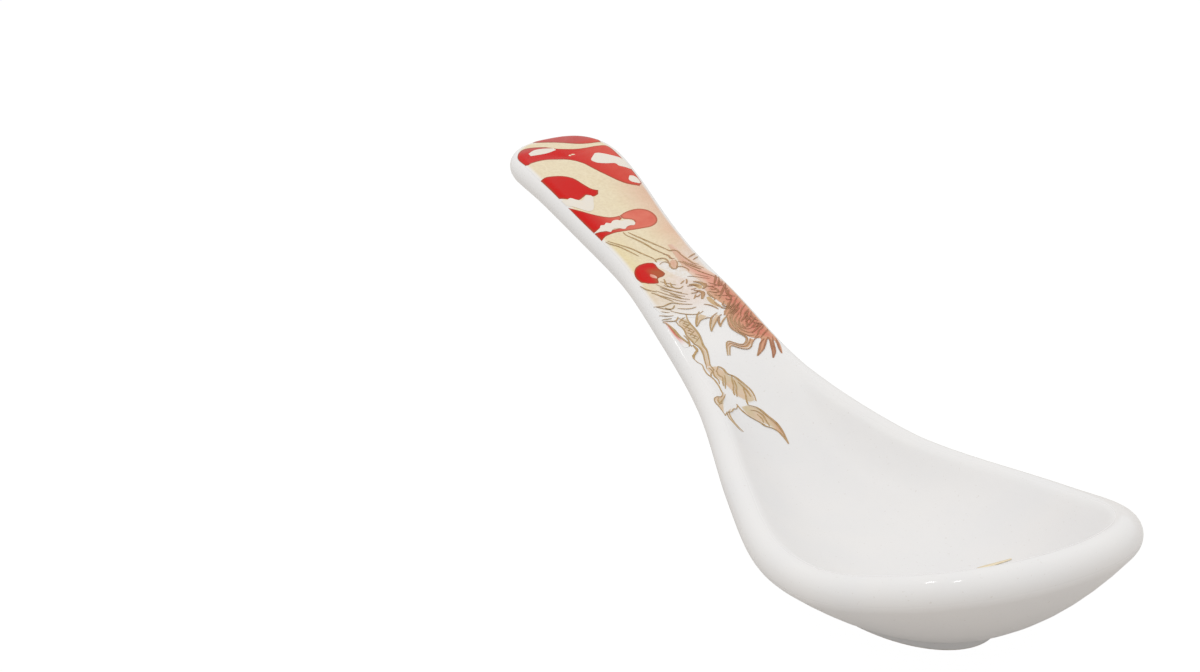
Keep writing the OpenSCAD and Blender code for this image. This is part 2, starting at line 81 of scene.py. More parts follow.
class SpoonSizes(PropertyGroup):
    """Sizes of the porcelain, the same as in the construction."""

    spoon_len: length("Spoon length", 135, "End of the handle to the tip of the bowl")
    handle_end_h: length("Handle end height", 37, "Height of the end of the handle")
    neck_h: length("Neck height", 11.6, "Height of the lowest edge, at the neck")
    handle_end_w: length("Handle end width", 17.2, "Width across the end of the handle")
    waist_w: length("Waist width", 12.8, "Width across the waist of the handle")
    neck_w: length("Neck width", 17.4, "Width where the bowl starts to open")
    end_round: length("End rounding", 9.4, "Length of the rounded end of the handle")
    handle_t: length("Handle thickness", 4, "Thickness of the handle")
    handle_dish: length("Handle dish", 0.4, "Depth of the dish along the handle")
    bowl_w: length("Bowl width", 39, "Width across the bowl")
    tip_len: length("Tip length", 25, "Widest part of the bowl to its tip")
    rim_h: length("Rim height", 12.4, "Height of the rim at the widest part")
    tip_h: length("Tip height", 18.6, "Height of the rim at the tip")
    lip_t: length("Lip thickness", 4.2, "Thickness of the rounded lip")
    floor_t: length("Floor thickness", 3.8, "Thickness of the floor of the bowl")


class FootSizes(PropertyGroup):
    """Sizes of the foot under the bowl."""

    foot_len: length("Foot length", 36, "Length of the foot")
    foot_w: length("Foot width", 19, "Width of the foot")
    foot_h: length("Foot height", 1, "Height of the foot below the bowl's floor")
    ring_w: length("Ring width", 2.4, "Width of the ring that the spoon stands on")
    hollow: length("Hollow depth", 0.5, "Depth of the hollow inside the ring")
    foot_from_tip: length("Foot place", 18, "Tip of the bowl to the foot")
    edge_round: length("Ring edge radius", 0.35, "Rounding of the ring's edges")
    fillet: length("Fillet radius", 0.8, "Glaze that fills the corner round the foot")
    fillet_sink: length("Fillet sink", 0.06, "How deep the fillet's rim lies in the glaze")
    foot_sink: length("Foot sink", 0.6, "How far the foot reaches into the porcelain")


class PrintSizes(PropertyGroup):
    """Sizes of the printed films."""

    film_t: length("Film thickness", 0.014, "Thickness of a printed film")
    seat: length("Seat", 0.01, "Height of the lowest film above the glaze")
    line_w: length("Line width", 0.34, "Width of a printed line at its middle")
    margin: length("Bare strip", 1, "Bare strip between the print and the edge")
    edge_w: length("Edge width", 0.4, "Width of the darker edge of a printed patch")
    fade_w: length("Fade width", 0.7, "Width over which the ground and the washes fade out")
    mane_fade: length("Mane fade", 1, "Width over which the mane grows paler")
    touch_fade: length("Touch fade", 0.35, "Width over which the near touch of salmon fades out")
    run_steps: count("Steps along", 6, "Steps between two named places")
    across_steps: count("Steps across", 3, "Steps across a patch for each one in its table")


class GlazeColours(PropertyGroup):
    """Colours of the porcelain, the print and the bare clay."""

    porcelain: colour("Porcelain", (0.80, 0.79, 0.78), "Glazed porcelain")
    clay: colour("Bare clay", (0.72, 0.66, 0.58), "Unglazed ring of the foot")
    red: colour("Red", (0.60, 0.008, 0.006), "Strongest red of the print")
    # Salmon stands for painted reflection: the paler red where the glaze catches the light on the far side
    salmon: colour("Salmon", (0.72, 0.20, 0.14), "Red where it is printed thin")
    cream: colour("Cream", (0.78, 0.68, 0.47), "Ground of the print")
    tan: colour("Tan", (0.72, 0.45, 0.32), "Ground near the far edge")
    pink: colour("Pink", (0.71, 0.30, 0.22), "Mane of the dragon")
    wash: colour("Wash", (0.66, 0.47, 0.31), "Soft washes on the brow, curl, leg, paw and claws")
    face: colour("Face", (0.76, 0.66, 0.55), "Ground behind the face")
    cloud: colour("Cloud", (0.76, 0.72, 0.66), "Clouds on the red")
    gold: colour("Gold line", (0.45, 0.26, 0.085), "Lines on the handle")
    bowl_gold: colour("Bowl gold", (0.85, 0.75, 0.54), "Clouds in the bowl")
    outline: colour("Outline", (0.30, 0.09, 0.04), "Dark line round each red patch")


class StageSizes(PropertyGroup):
    """Camera, lamps and floor."""

    lens: number("Lens", 57.7, "Focal length in millimetres", 1.0)
    sensor: number("Sensor width", 36, "Width of the sensor in millimetres", 1.0)
    floor_size: length("Floor size", 4000, "Side of the square floor")
    lamp_side: length("Lip lamp side", 24, "Side of each square lip lamp")
    lamp_power: number("Lip lamp power", 0.055, "Power of each lip lamp in watts")
    sky_top: number("Sky", 1.1, "Strength of the light from above")
    sky_side: number("Horizon", 0.84, "Strength of the light from the sides")


GROUPS = {
    "spoon_sizes": SpoonSizes,
    "spoon_foot": FootSizes,
    "spoon_print": PrintSizes,
    "spoon_colours": GlazeColours,
    "spoon_stage": StageSizes,
}


# Places along the spoon, as shares of its length from the end of the handle: the waist, where the
# bowl starts to sink, the neck, the lowest edge, where the floor is level, and the print's end
WAIST_SHARE = 0.28
BOWL_START_SHARE = 0.445
NECK_SHARE = 0.495
LOW_EDGE_SHARE = 0.645
BOWL_LEVEL_SHARE = 0.69
PRINT_SHARE = 0.555

# Shapes of the edge between the named places: [share of the way, share of the change]
END_TO_WAIST_SHARES = [[0.26, 0.22]]
WAIST_TO_NECK_SHARES = [[0.45, 0.3]]
NECK_TO_BOWL_SHARES = [[0.39, 0.46], [0.76, 0.9]]
HANDLE_FALL_SHARES = [[0.16, 0.09], [0.34, 0.28], [0.56, 0.51], [0.78, 0.8]]

# The print on the handle. Places are [share of the print's length, share of the width inside
# the bare strips], which runs from -1 on the near side to 1 on the far one.
# A patch is [layer, steps across, edge, other edge], and both edges have the same number of places.
HANDLE_CREAM_SHARES = [
    [0, 10,
        [[0.03, -0.5], [0.055, -0.8], [0.11, -0.96], [0.2, -1], [0.3, -1], [0.4, -1], [0.5, -1],
            [0.58, -1], [0.66, -1], [0.695, -0.92], [0.71, -0.7]],
        [[0.028, 0.45], [0.05, 0.76], [0.11, 0.97], [0.2, 1.02], [0.3, 1.05], [0.4, 1.05], [0.48, 1.05],
            [0.54, 1.02], [0.6, 0.95], [0.67, 0.75], [0.725, 0.3]]],
]
HANDLE_RED_SHARES = [
    [1, 5,
        [[0.03, -0.38], [0.018, -0.2], [0.014, 0.05], [0.017, 0.3], [0.03, 0.55], [0.052, 0.75],
            [0.08, 0.9]],
        [[0.034, -0.3], [0.042, -0.1], [0.052, 0.1], [0.065, 0.3], [0.078, 0.5], [0.088, 0.7],
            [0.096, 0.88]]],
    [1, 5,
        [[0.132, -0.97], [0.09, -0.96], [0.062, -0.8], [0.052, -0.55], [0.06, -0.25], [0.08, -0.02],
            [0.092, 0.25], [0.1, 0.5], [0.108, 0.75], [0.125, 0.92], [0.17, 0.95], [0.215, 0.98],
            [0.25, 1], [0.285, 1]],
        [[0.136, -0.92], [0.128, -0.78], [0.122, -0.62], [0.12, -0.45], [0.125, -0.28], [0.133, -0.1],
            [0.148, 0.05], [0.168, 0.16], [0.19, 0.23], [0.212, 0.31], [0.235, 0.41], [0.258, 0.52],
            [0.28, 0.67], [0.298, 0.88]]],
    [1, 4,
        [[0.205, -1], [0.2, -0.75], [0.203, -0.5], [0.218, -0.32], [0.245, -0.23], [0.265, -0.15],
            [0.275, -0.03]],
        [[0.28, -1], [0.293, -0.85], [0.299, -0.65], [0.29, -0.47], [0.284, -0.36], [0.293, -0.25],
            [0.288, -0.1]]],
    [1, 3,
        [[0.315, -1], [0.335, -0.87], [0.352, -0.65], [0.364, -0.45], [0.371, -0.25], [0.371, -0.035]],
        [[0.412, -1], [0.409, -0.85], [0.403, -0.65], [0.398, -0.45], [0.392, -0.25], [0.381, -0.035]]],
    [1, 3,
        [[0.371, -0.025], [0.364, 0.15], [0.362, 0.35], [0.367, 0.55], [0.382, 0.71], [0.404, 0.77],
            [0.422, 0.7], [0.43, 0.5], [0.427, 0.2], [0.424, -0.15], [0.425, -0.5], [0.434, -0.8],
            [0.442, -1]],
        [[0.38, -0.025], [0.383, 0], [0.386, 0.06], [0.389, 0.13], [0.393, 0.18], [0.398, 0.2],
            [0.403, 0.17], [0.406, 0.08], [0.409, -0.1], [0.412, -0.3], [0.415, -0.55], [0.418, -0.8],
            [0.414, -1]]],
    [1, 3,
        [[0.543, -0.24], [0.54, -0.4], [0.544, -0.62], [0.553, -0.8], [0.566, -0.93], [0.582, -0.97],
            [0.598, -0.93]],
        [[0.549, -0.21], [0.563, -0.22], [0.58, -0.16], [0.589, -0.26], [0.594, -0.44], [0.608, -0.52],
            [0.607, -0.8]]],
]
HANDLE_PINK_SHARES = [
    [1, 4,
        [[0.5, 0.5], [0.53, 0.46], [0.56, 0.42], [0.59, 0.4], [0.615, 0.45], [0.64, 0.52], [0.655, 0.42],
            [0.675, 0.46], [0.695, 0.5], [0.712, 0.58], [0.722, 0.42], [0.74, 0.4], [0.762, 0.34],
            [0.785, 0.44], [0.8, 0.56], [0.812, 0.76], [0.822, 0.86]],
        [[0.502, 0.62], [0.53, 0.66], [0.556, 0.7], [0.58, 0.78], [0.605, 0.86], [0.63, 0.97],
            [0.65, 1], [0.67, 1], [0.69, 1], [0.71, 1], [0.725, 1], [0.745, 1], [0.765, 1], [0.785, 1],
            [0.8, 1], [0.812, 1], [0.822, 0.98]]],
    [0, 2,
        [[0.806, 0.72], [0.816, 0.63], [0.825, 0.54], [0.833, 0.47], [0.84, 0.4]],
        [[0.812, 0.84], [0.818, 0.75], [0.827, 0.65], [0.835, 0.54], [0.841, 0.41]]],
    [0, 2,
        [[0.81, 0.86], [0.822, 0.81], [0.834, 0.75], [0.845, 0.69], [0.856, 0.62]],
        [[0.813, 0.94], [0.824, 0.87], [0.838, 0.8], [0.849, 0.73], [0.857, 0.64]]],
    [0, 2,
        [[0.814, 0.92], [0.828, 0.89], [0.842, 0.84], [0.856, 0.8]],
        [[0.82, 0.99], [0.832, 0.95], [0.845, 0.89], [0.857, 0.82]]],
    [2, 2,
        [[0.578, -0.55], [0.584, -0.6], [0.59, -0.57]],
        [[0.581, -0.49], [0.587, -0.44], [0.594, -0.46]]],
    [1, 2,
        [[0.553, 0.14], [0.562, 0.12], [0.571, 0.14], [0.574, 0.2]],
        [[0.546, 0.3], [0.552, 0.36], [0.56, 0.34], [0.569, 0.28]]],
    [0, 2,
        [[0.71, -0.99], [0.725, -0.99], [0.745, -0.98], [0.765, -0.95], [0.788, -0.9]],
        [[0.712, -0.95], [0.726, -0.89], [0.746, -0.85], [0.766, -0.81], [0.789, -0.82]]],
]
HANDLE_CLOUD_SHARES = [
    [2, 2,
        [[0.074, -0.1], [0.066, -0.3], [0.066, -0.5], [0.08, -0.68]],
        [[0.083, -0.08], [0.088, -0.28], [0.09, -0.5], [0.092, -0.68]]],
    [2, 3,
        [[0.137, 0.55], [0.148, 0.45], [0.162, 0.36], [0.178, 0.42], [0.19, 0.57], [0.2, 0.74],
            [0.214, 0.78], [0.23, 0.93]],
        [[0.14, 0.62], [0.152, 0.71], [0.165, 0.79], [0.176, 0.86], [0.185, 0.93], [0.198, 1],
            [0.214, 1], [0.232, 1]]],
    [2, 2,
        [[0.257, 0.83], [0.268, 0.76], [0.28, 0.8], [0.288, 0.9]],
        [[0.26, 0.92], [0.268, 0.97], [0.279, 0.98], [0.288, 0.96]]],
    [2, 2,
        [[0.288, -1], [0.294, -0.9], [0.29, -0.78], [0.298, -0.68], [0.302, -0.58], [0.295, -0.48],
            [0.286, -0.38], [0.289, -0.28]],
        [[0.307, -1], [0.322, -0.88], [0.335, -0.76], [0.342, -0.64], [0.338, -0.52], [0.325, -0.42],
            [0.31, -0.34], [0.296, -0.26]]],
    [2, 3,
        [[0.412, -0.94], [0.406, -0.8], [0.396, -0.7], [0.395, -0.6], [0.388, -0.5], [0.391, -0.4],
            [0.384, -0.3], [0.383, -0.18], [0.389, -0.08], [0.388, 0.03], [0.394, 0.13], [0.4, 0.19]],
        [[0.416, -0.94], [0.418, -0.8], [0.417, -0.7], [0.421, -0.6], [0.414, -0.5], [0.41, -0.4],
            [0.412, -0.3], [0.417, -0.18], [0.411, -0.08], [0.409, 0.03], [0.411, 0.12], [0.405, 0.19]]],
]
# Soft washes of tan: brow, lock, chin, curl, foreleg, paw and claws
HANDLE_WASH_SHARES = [
    [1, 2,
        [[0.626, 0.2], [0.634, 0.22], [0.642, 0.26], [0.65, 0.3]],
        [[0.63, 0.36], [0.637, 0.43], [0.645, 0.44], [0.651, 0.38]]],
    [1, 2,
        [[0.672, 0.3], [0.684, 0.27], [0.697, 0.3], [0.708, 0.38]],
        [[0.674, 0.42], [0.684, 0.43], [0.696, 0.45], [0.708, 0.5]]],
    [1, 2,
        [[0.71, -0.1], [0.722, -0.24], [0.74, -0.35]],
        [[0.722, 0.05], [0.728, -0.16], [0.741, -0.34]]],
    [1, 2,
        [[0.72, 0.25], [0.735, 0.03], [0.76, -0.13]],
        [[0.73, 0.3], [0.74, 0.1], [0.761, -0.11]]],
    [1, 2,
        [[0.732, 0.36], [0.742, 0.2], [0.754, 0.12]],
        [[0.738, 0.4], [0.746, 0.24], [0.755, 0.14]]],
    [1, 2,
        [[0.797, 0.5], [0.805, 0.4], [0.809, 0.3], [0.805, 0.2], [0.798, 0.12], [0.793, 0.06],
            [0.798, -0.01], [0.81, -0.08], [0.823, -0.14]],
        [[0.806, 0.58], [0.813, 0.46], [0.819, 0.34], [0.816, 0.23], [0.808, 0.13], [0.803, 0.06],
            [0.808, -0.01], [0.815, -0.05], [0.824, -0.1]]],
    [0, 3,
        [[0.716, -0.45], [0.724, -0.45], [0.74, -0.44], [0.76, -0.43], [0.776, -0.46], [0.79, -0.49],
            [0.81, -0.52], [0.83, -0.58], [0.842, -0.6]],
        [[0.717, -0.66], [0.727, -0.72], [0.74, -0.69], [0.76, -0.69], [0.776, -0.66], [0.79, -0.6],
            [0.81, -0.6], [0.83, -0.67], [0.842, -0.72]]],
    [0, 3,
        [[0.84, -0.5], [0.85, -0.4], [0.862, -0.34], [0.872, -0.21], [0.888, -0.13], [0.904, -0.09],
            [0.916, -0.1]],
        [[0.842, -0.73], [0.856, -0.7], [0.868, -0.6], [0.88, -0.52], [0.894, -0.45], [0.906, -0.38],
            [0.918, -0.22]]],
    [0, 2,
        [[0.9, -0.6], [0.916, -0.66], [0.932, -0.72], [0.945, -0.76], [0.964, -0.8]],
        [[0.9, -0.65], [0.916, -0.74], [0.92, -0.84], [0.934, -0.86], [0.965, -0.81]]],
    [0, 3,
        [[0.922, -0.3], [0.928, -0.15], [0.942, -0.06], [0.965, 0.03], [1, 0.03]],
        [[0.926, -0.42], [0.94, -0.38], [0.954, -0.22], [0.97, -0.06], [1, 0.01]]],
    [0, 2,
        [[0.936, -0.6], [0.955, -0.68], [0.974, -0.67], [0.985, -0.59]],
        [[0.938, -0.64], [0.956, -0.74], [0.978, -0.71], [0.986, -0.61]]],
]
# A line is [layer, share of the line width, places]. The figure's parts follow each other from the
# end of the handle: horns, snout, nose, eye and brow, whiskers and beard, chin, curl, mane, foreleg,
# paw and claws.
HANDLE_LINE_SHARES = [
    [2, 0.9, [[0.427, -0.3], [0.44, -0.28], [0.455, -0.16], [0.478, -0.02], [0.5, 0.08], [0.522, 0.23],
            [0.532, 0.3]]],
    [2, 0.9, [[0.43, -0.18], [0.441, -0.11], [0.456, 0], [0.479, 0.16], [0.502, 0.32], [0.515, 0.4]]],
    [2, 0.9, [[0.45, -0.95], [0.463, -0.89], [0.479, -0.73], [0.499, -0.57], [0.515, -0.46]]],
    [2, 0.9, [[0.451, -0.9], [0.462, -0.8], [0.474, -0.63], [0.488, -0.46], [0.504, -0.34],
            [0.525, -0.16], [0.536, -0.11]]],
    [2, 1, [[0.543, -0.13], [0.536, -0.12], [0.533, 0], [0.535, 0.12], [0.543, 0.17], [0.552, 0.16]]],
    [2, 0.8, [[0.552, -0.11], [0.547, 0], [0.548, 0.1], [0.556, 0.15], [0.564, 0.11], [0.573, 0.13],
            [0.575, 0.2], [0.57, 0.27], [0.56, 0.35], [0.55, 0.37]]],
    [2, 0.9, [[0.522, 0.2], [0.53, 0.29], [0.541, 0.3], [0.546, 0.37]]],
    [2, 0.8, [[0.572, 0.25], [0.572, 0.34], [0.578, 0.42], [0.588, 0.46], [0.594, 0.43]]],
    [2, 1.1, [[0.513, 0.38], [0.519, 0.44], [0.52, 0.53], [0.528, 0.6], [0.54, 0.6]]],
    [2, 1, [[0.556, 0.39], [0.563, 0.48], [0.574, 0.56], [0.587, 0.66], [0.6, 0.74]]],
    [2, 1, [[0.54, 0.6], [0.552, 0.63], [0.566, 0.67], [0.578, 0.71], [0.585, 0.79]]],
    [2, 1, [[0.557, 0.7], [0.554, 0.82], [0.549, 0.93], [0.545, 0.99]]],
    [2, 0.8, [[0.568, 0.76], [0.563, 0.89], [0.558, 0.98]]],
    [2, 0.8, [[0.598, -0.3], [0.607, -0.33], [0.615, -0.36], [0.624, -0.3]]],
    [2, 0.9, [[0.612, -0.22], [0.623, -0.25], [0.63, -0.2], [0.633, -0.1], [0.629, 0.02]]],
    [2, 0.8, [[0.614, 0.15], [0.618, 0.07], [0.621, 0]]],
    [2, 0.8, [[0.625, 0.13], [0.619, 0.19], [0.612, 0.22]]],
    [2, 2.4, [[0.624, 0.33], [0.629, 0.43], [0.637, 0.5], [0.646, 0.47], [0.65, 0.38]]],
    [2, 1.6, [[0.628, 0.18], [0.633, 0.3], [0.641, 0.36]]],
    [2, 1.8, [[0.648, 0.17], [0.652, 0.27], [0.66, 0.32], [0.669, 0.26], [0.676, 0.19]]],
    [2, 0.8, [[0.66, 0.14], [0.666, 0.08], [0.67, 0.02]]],
    [2, 1, [[0.69, 0.14], [0.694, 0.23], [0.702, 0.31], [0.712, 0.36]]],
    [2, 1, [[0.663, 0.5], [0.662, 0.46], [0.666, 0.42], [0.673, 0.42], [0.679, 0.45], [0.685, 0.46],
            [0.688, 0.41]]],
    [2, 1, [[0.692, 0.4], [0.702, 0.42], [0.712, 0.47], [0.717, 0.55]]],
    [2, 0.9, [[0.604, -1], [0.613, -0.96], [0.622, -0.91], [0.63, -0.82], [0.634, -0.72]]],
    [2, 0.9, [[0.635, -0.86], [0.645, -0.73], [0.657, -0.59], [0.667, -0.48]]],
    [2, 1, [[0.669, -1], [0.675, -0.9], [0.677, -0.8], [0.673, -0.68], [0.67, -0.57], [0.671, -0.48],
            [0.675, -0.38], [0.679, -0.25], [0.683, -0.1]]],
    [2, 0.8, [[0.687, -0.5], [0.691, -0.35], [0.693, -0.2], [0.692, -0.06]]],
    [2, 0.8, [[0.692, -0.7], [0.698, -0.58], [0.704, -0.43], [0.709, -0.25], [0.71, -0.1],
            [0.706, 0.02]]],
    [2, 0.7, [[0.643, -0.43], [0.652, -0.33], [0.661, -0.24]]],
    [2, 0.9, [[0.682, -0.78], [0.686, -0.7], [0.685, -0.6], [0.678, -0.52]]],
    [2, 1, [[0.705, -0.07], [0.713, -0.17], [0.723, -0.25], [0.733, -0.32], [0.741, -0.36]]],
    [2, 0.9, [[0.741, -0.35], [0.734, -0.27], [0.728, -0.2], [0.725, -0.1], [0.725, 0], [0.727, 0.08]]],
    [2, 1, [[0.719, 0.28], [0.723, 0.17], [0.728, 0.08], [0.737, 0], [0.747, -0.07], [0.76, -0.13]]],
    [2, 1, [[0.76, -0.12], [0.752, -0.05], [0.745, 0.03], [0.737, 0.13], [0.73, 0.23], [0.726, 0.34]]],
    [2, 1, [[0.731, 0.26], [0.739, 0.18], [0.746, 0.15], [0.754, 0.12]]],
    [2, 1, [[0.754, 0.13], [0.748, 0.18], [0.741, 0.27], [0.736, 0.36], [0.734, 0.42]]],
    [2, 1, [[0.732, 0.41], [0.741, 0.38], [0.753, 0.33], [0.766, 0.32], [0.778, 0.37], [0.788, 0.43],
            [0.797, 0.45], [0.805, 0.38], [0.808, 0.3], [0.805, 0.22], [0.798, 0.14], [0.792, 0.07],
            [0.796, 0], [0.808, -0.07], [0.823, -0.14]]],
    [2, 1, [[0.803, 0.7], [0.805, 0.58], [0.811, 0.48], [0.818, 0.4], [0.82, 0.32], [0.817, 0.24],
            [0.811, 0.16], [0.804, 0.08], [0.805, 0.02], [0.812, -0.03], [0.824, -0.1]]],
    [2, 0.7, [[0.801, 0.52], [0.808, 0.43], [0.813, 0.33], [0.811, 0.23], [0.803, 0.14], [0.798, 0.06],
            [0.802, -0.01]]],
    [2, 0.8, [[0.812, 0.74], [0.817, 0.63], [0.825, 0.55], [0.833, 0.47], [0.84, 0.39]]],
    [2, 0.8, [[0.811, 0.84], [0.816, 0.77], [0.825, 0.67], [0.833, 0.57], [0.84, 0.4]]],
    [2, 0.8, [[0.812, 0.84], [0.82, 0.82], [0.832, 0.76], [0.844, 0.7], [0.856, 0.62]]],
    [2, 0.8, [[0.812, 0.93], [0.823, 0.86], [0.837, 0.79], [0.848, 0.73], [0.856, 0.63]]],
    [2, 0.8, [[0.815, 0.98], [0.83, 0.91], [0.843, 0.85], [0.856, 0.81]]],
    [2, 1, [[0.726, 0.7], [0.734, 0.58], [0.741, 0.48], [0.749, 0.42], [0.762, 0.4], [0.775, 0.42],
            [0.786, 0.48], [0.794, 0.55], [0.796, 0.64]]],
    [2, 1, [[0.736, 0.7], [0.743, 0.57], [0.752, 0.48], [0.763, 0.47], [0.776, 0.5], [0.785, 0.57],
            [0.788, 0.66]]],
    [2, 0.9, [[0.745, 0.69], [0.751, 0.59], [0.76, 0.53], [0.769, 0.53], [0.777, 0.59], [0.779, 0.68]]],
    [2, 0.9, [[0.749, 0.78], [0.757, 0.72], [0.766, 0.67], [0.772, 0.61], [0.769, 0.57], [0.763, 0.59]]],
    [2, 0.9, [[0.741, 0.84], [0.752, 0.8], [0.765, 0.81], [0.773, 0.86], [0.772, 0.92]]],
    [2, 1, [[0.74, 0.96], [0.749, 0.89], [0.76, 0.88], [0.766, 0.94]]],
    [2, 0.9, [[0.779, 0.72], [0.779, 0.8], [0.775, 0.88], [0.775, 0.96]]],
    [2, 1, [[0.778, 0.98], [0.786, 0.88], [0.79, 0.78], [0.797, 0.7], [0.802, 0.6]]],
    [2, 1, [[0.788, 1], [0.796, 0.9], [0.801, 0.8], [0.807, 0.7]]],
    [2, 1, [[0.661, 0.9], [0.669, 0.78], [0.677, 0.68], [0.684, 0.6], [0.689, 0.53]]],
    [2, 1, [[0.683, 0.66], [0.686, 0.73], [0.692, 0.8], [0.698, 0.76], [0.697, 0.69], [0.692, 0.69]]],
    [2, 1, [[0.668, 0.92], [0.674, 0.83], [0.683, 0.8], [0.692, 0.84], [0.694, 0.92]]],
    [2, 0.9, [[0.654, 0.6], [0.66, 0.66], [0.668, 0.66], [0.672, 0.6], [0.668, 0.56]]],
    [2, 0.9, [[0.64, 0.62], [0.648, 0.7], [0.656, 0.78], [0.66, 0.86]]],
    [2, 0.9, [[0.698, 0.6], [0.704, 0.52], [0.711, 0.55], [0.71, 0.62], [0.705, 0.64]]],
    [2, 1, [[0.718, 0.56], [0.714, 0.63], [0.718, 0.7], [0.724, 0.66], [0.722, 0.6]]],
    [1, 1, [[0.705, -0.4], [0.72, -0.45], [0.733, -0.45], [0.747, -0.43], [0.762, -0.43], [0.775, -0.46],
            [0.788, -0.49], [0.8, -0.49], [0.812, -0.52], [0.827, -0.57], [0.838, -0.6],
            [0.85, -0.57]]],
    [1, 1, [[0.71, -1], [0.717, -0.88], [0.719, -0.76], [0.715, -0.67], [0.709, -0.62]]],
    [1, 0.8, [[0.706, -1], [0.711, -0.88], [0.712, -0.78]]],
    [1, 0.8, [[0.719, -0.73], [0.729, -0.73], [0.738, -0.69], [0.748, -0.68], [0.76, -0.7],
            [0.772, -0.67], [0.782, -0.65], [0.79, -0.6], [0.8, -0.59], [0.812, -0.61], [0.824, -0.65],
            [0.835, -0.68], [0.846, -0.71]]],
    [1, 1.2, [[0.712, -1], [0.72, -0.95], [0.735, -0.9], [0.757, -0.87], [0.767, -0.83], [0.778, -0.78],
            [0.788, -0.73]]],
    [1, 0.8, [[0.758, -0.76], [0.77, -0.73], [0.78, -0.75], [0.788, -0.8]]],
    [1, 1.5, [[0.785, -0.7], [0.797, -0.68], [0.804, -0.75], [0.811, -0.82], [0.819, -0.85]]],
    [1, 0.7, [[0.819, -0.85], [0.828, -0.82], [0.836, -0.76], [0.847, -0.77], [0.859, -0.76],
            [0.87, -0.69], [0.884, -0.66], [0.897, -0.66], [0.907, -0.67], [0.916, -0.73],
            [0.919, -0.81], [0.924, -0.86], [0.934, -0.87], [0.945, -0.84], [0.967, -0.8]]],
    [1, 1, [[0.967, -0.8], [0.955, -0.74], [0.946, -0.65], [0.936, -0.58], [0.933, -0.52],
            [0.924, -0.47]]],
    [1, 1, [[0.905, -0.61], [0.918, -0.69], [0.93, -0.77], [0.94, -0.83]]],
    [1, 0.7, [[0.92, -0.77], [0.928, -0.82], [0.936, -0.8], [0.933, -0.75]]],
    [1, 0.7, [[0.949, -0.7], [0.962, -0.72], [0.974, -0.68], [0.985, -0.58]]],
    [1, 0.6, [[0.955, -0.75], [0.97, -0.75], [0.982, -0.66], [0.986, -0.6]]],
    [1, 1, [[0.853, -0.56], [0.847, -0.5], [0.842, -0.46], [0.848, -0.39], [0.858, -0.36],
            [0.865, -0.26], [0.875, -0.19], [0.884, -0.14], [0.895, -0.09], [0.906, -0.08],
            [0.917, -0.1]]],
    [1, 0.9, [[0.85, -0.53], [0.859, -0.55], [0.866, -0.5], [0.875, -0.53], [0.886, -0.56]]],
    [1, 0.8, [[0.862, -0.43], [0.872, -0.47], [0.881, -0.51], [0.892, -0.55]]],
    [1, 1, [[0.863, -0.29], [0.873, -0.34], [0.884, -0.37], [0.894, -0.42], [0.904, -0.43]]],
    [1, 1, [[0.873, -0.3], [0.885, -0.32], [0.895, -0.37], [0.907, -0.4]]],
    [1, 1, [[0.891, -0.21], [0.902, -0.23], [0.911, -0.26], [0.922, -0.27]]],
    [1, 0.8, [[0.877, -0.24], [0.886, -0.2], [0.897, -0.16], [0.908, -0.15]]],
    [1, 0.7, [[0.843, -0.66], [0.852, -0.62], [0.862, -0.64], [0.872, -0.6], [0.882, -0.62]]],
    [1, 0.7, [[0.842, -0.58], [0.85, -0.6], [0.857, -0.68], [0.865, -0.7]]],
    [1, 1.2, [[0.922, -0.28], [0.926, -0.17], [0.932, -0.11], [0.942, -0.06], [0.952, -0.01],
            [0.965, 0.03], [0.98, 0.04], [1.002, 0.02]]],
    [1, 1.1, [[0.923, -0.48], [0.932, -0.45], [0.939, -0.4], [0.946, -0.32], [0.954, -0.22],
            [0.962, -0.16], [0.967, -0.08], [0.975, -0.02], [0.988, 0.01], [1.002, 0.02]]],
    [1, 0.9, [[0.932, -0.28], [0.934, -0.18], [0.942, -0.12], [0.952, -0.11], [0.964, -0.1]]],
    [1, 0.7, [[0.94, -0.2], [0.948, -0.16], [0.957, -0.17]]],
]
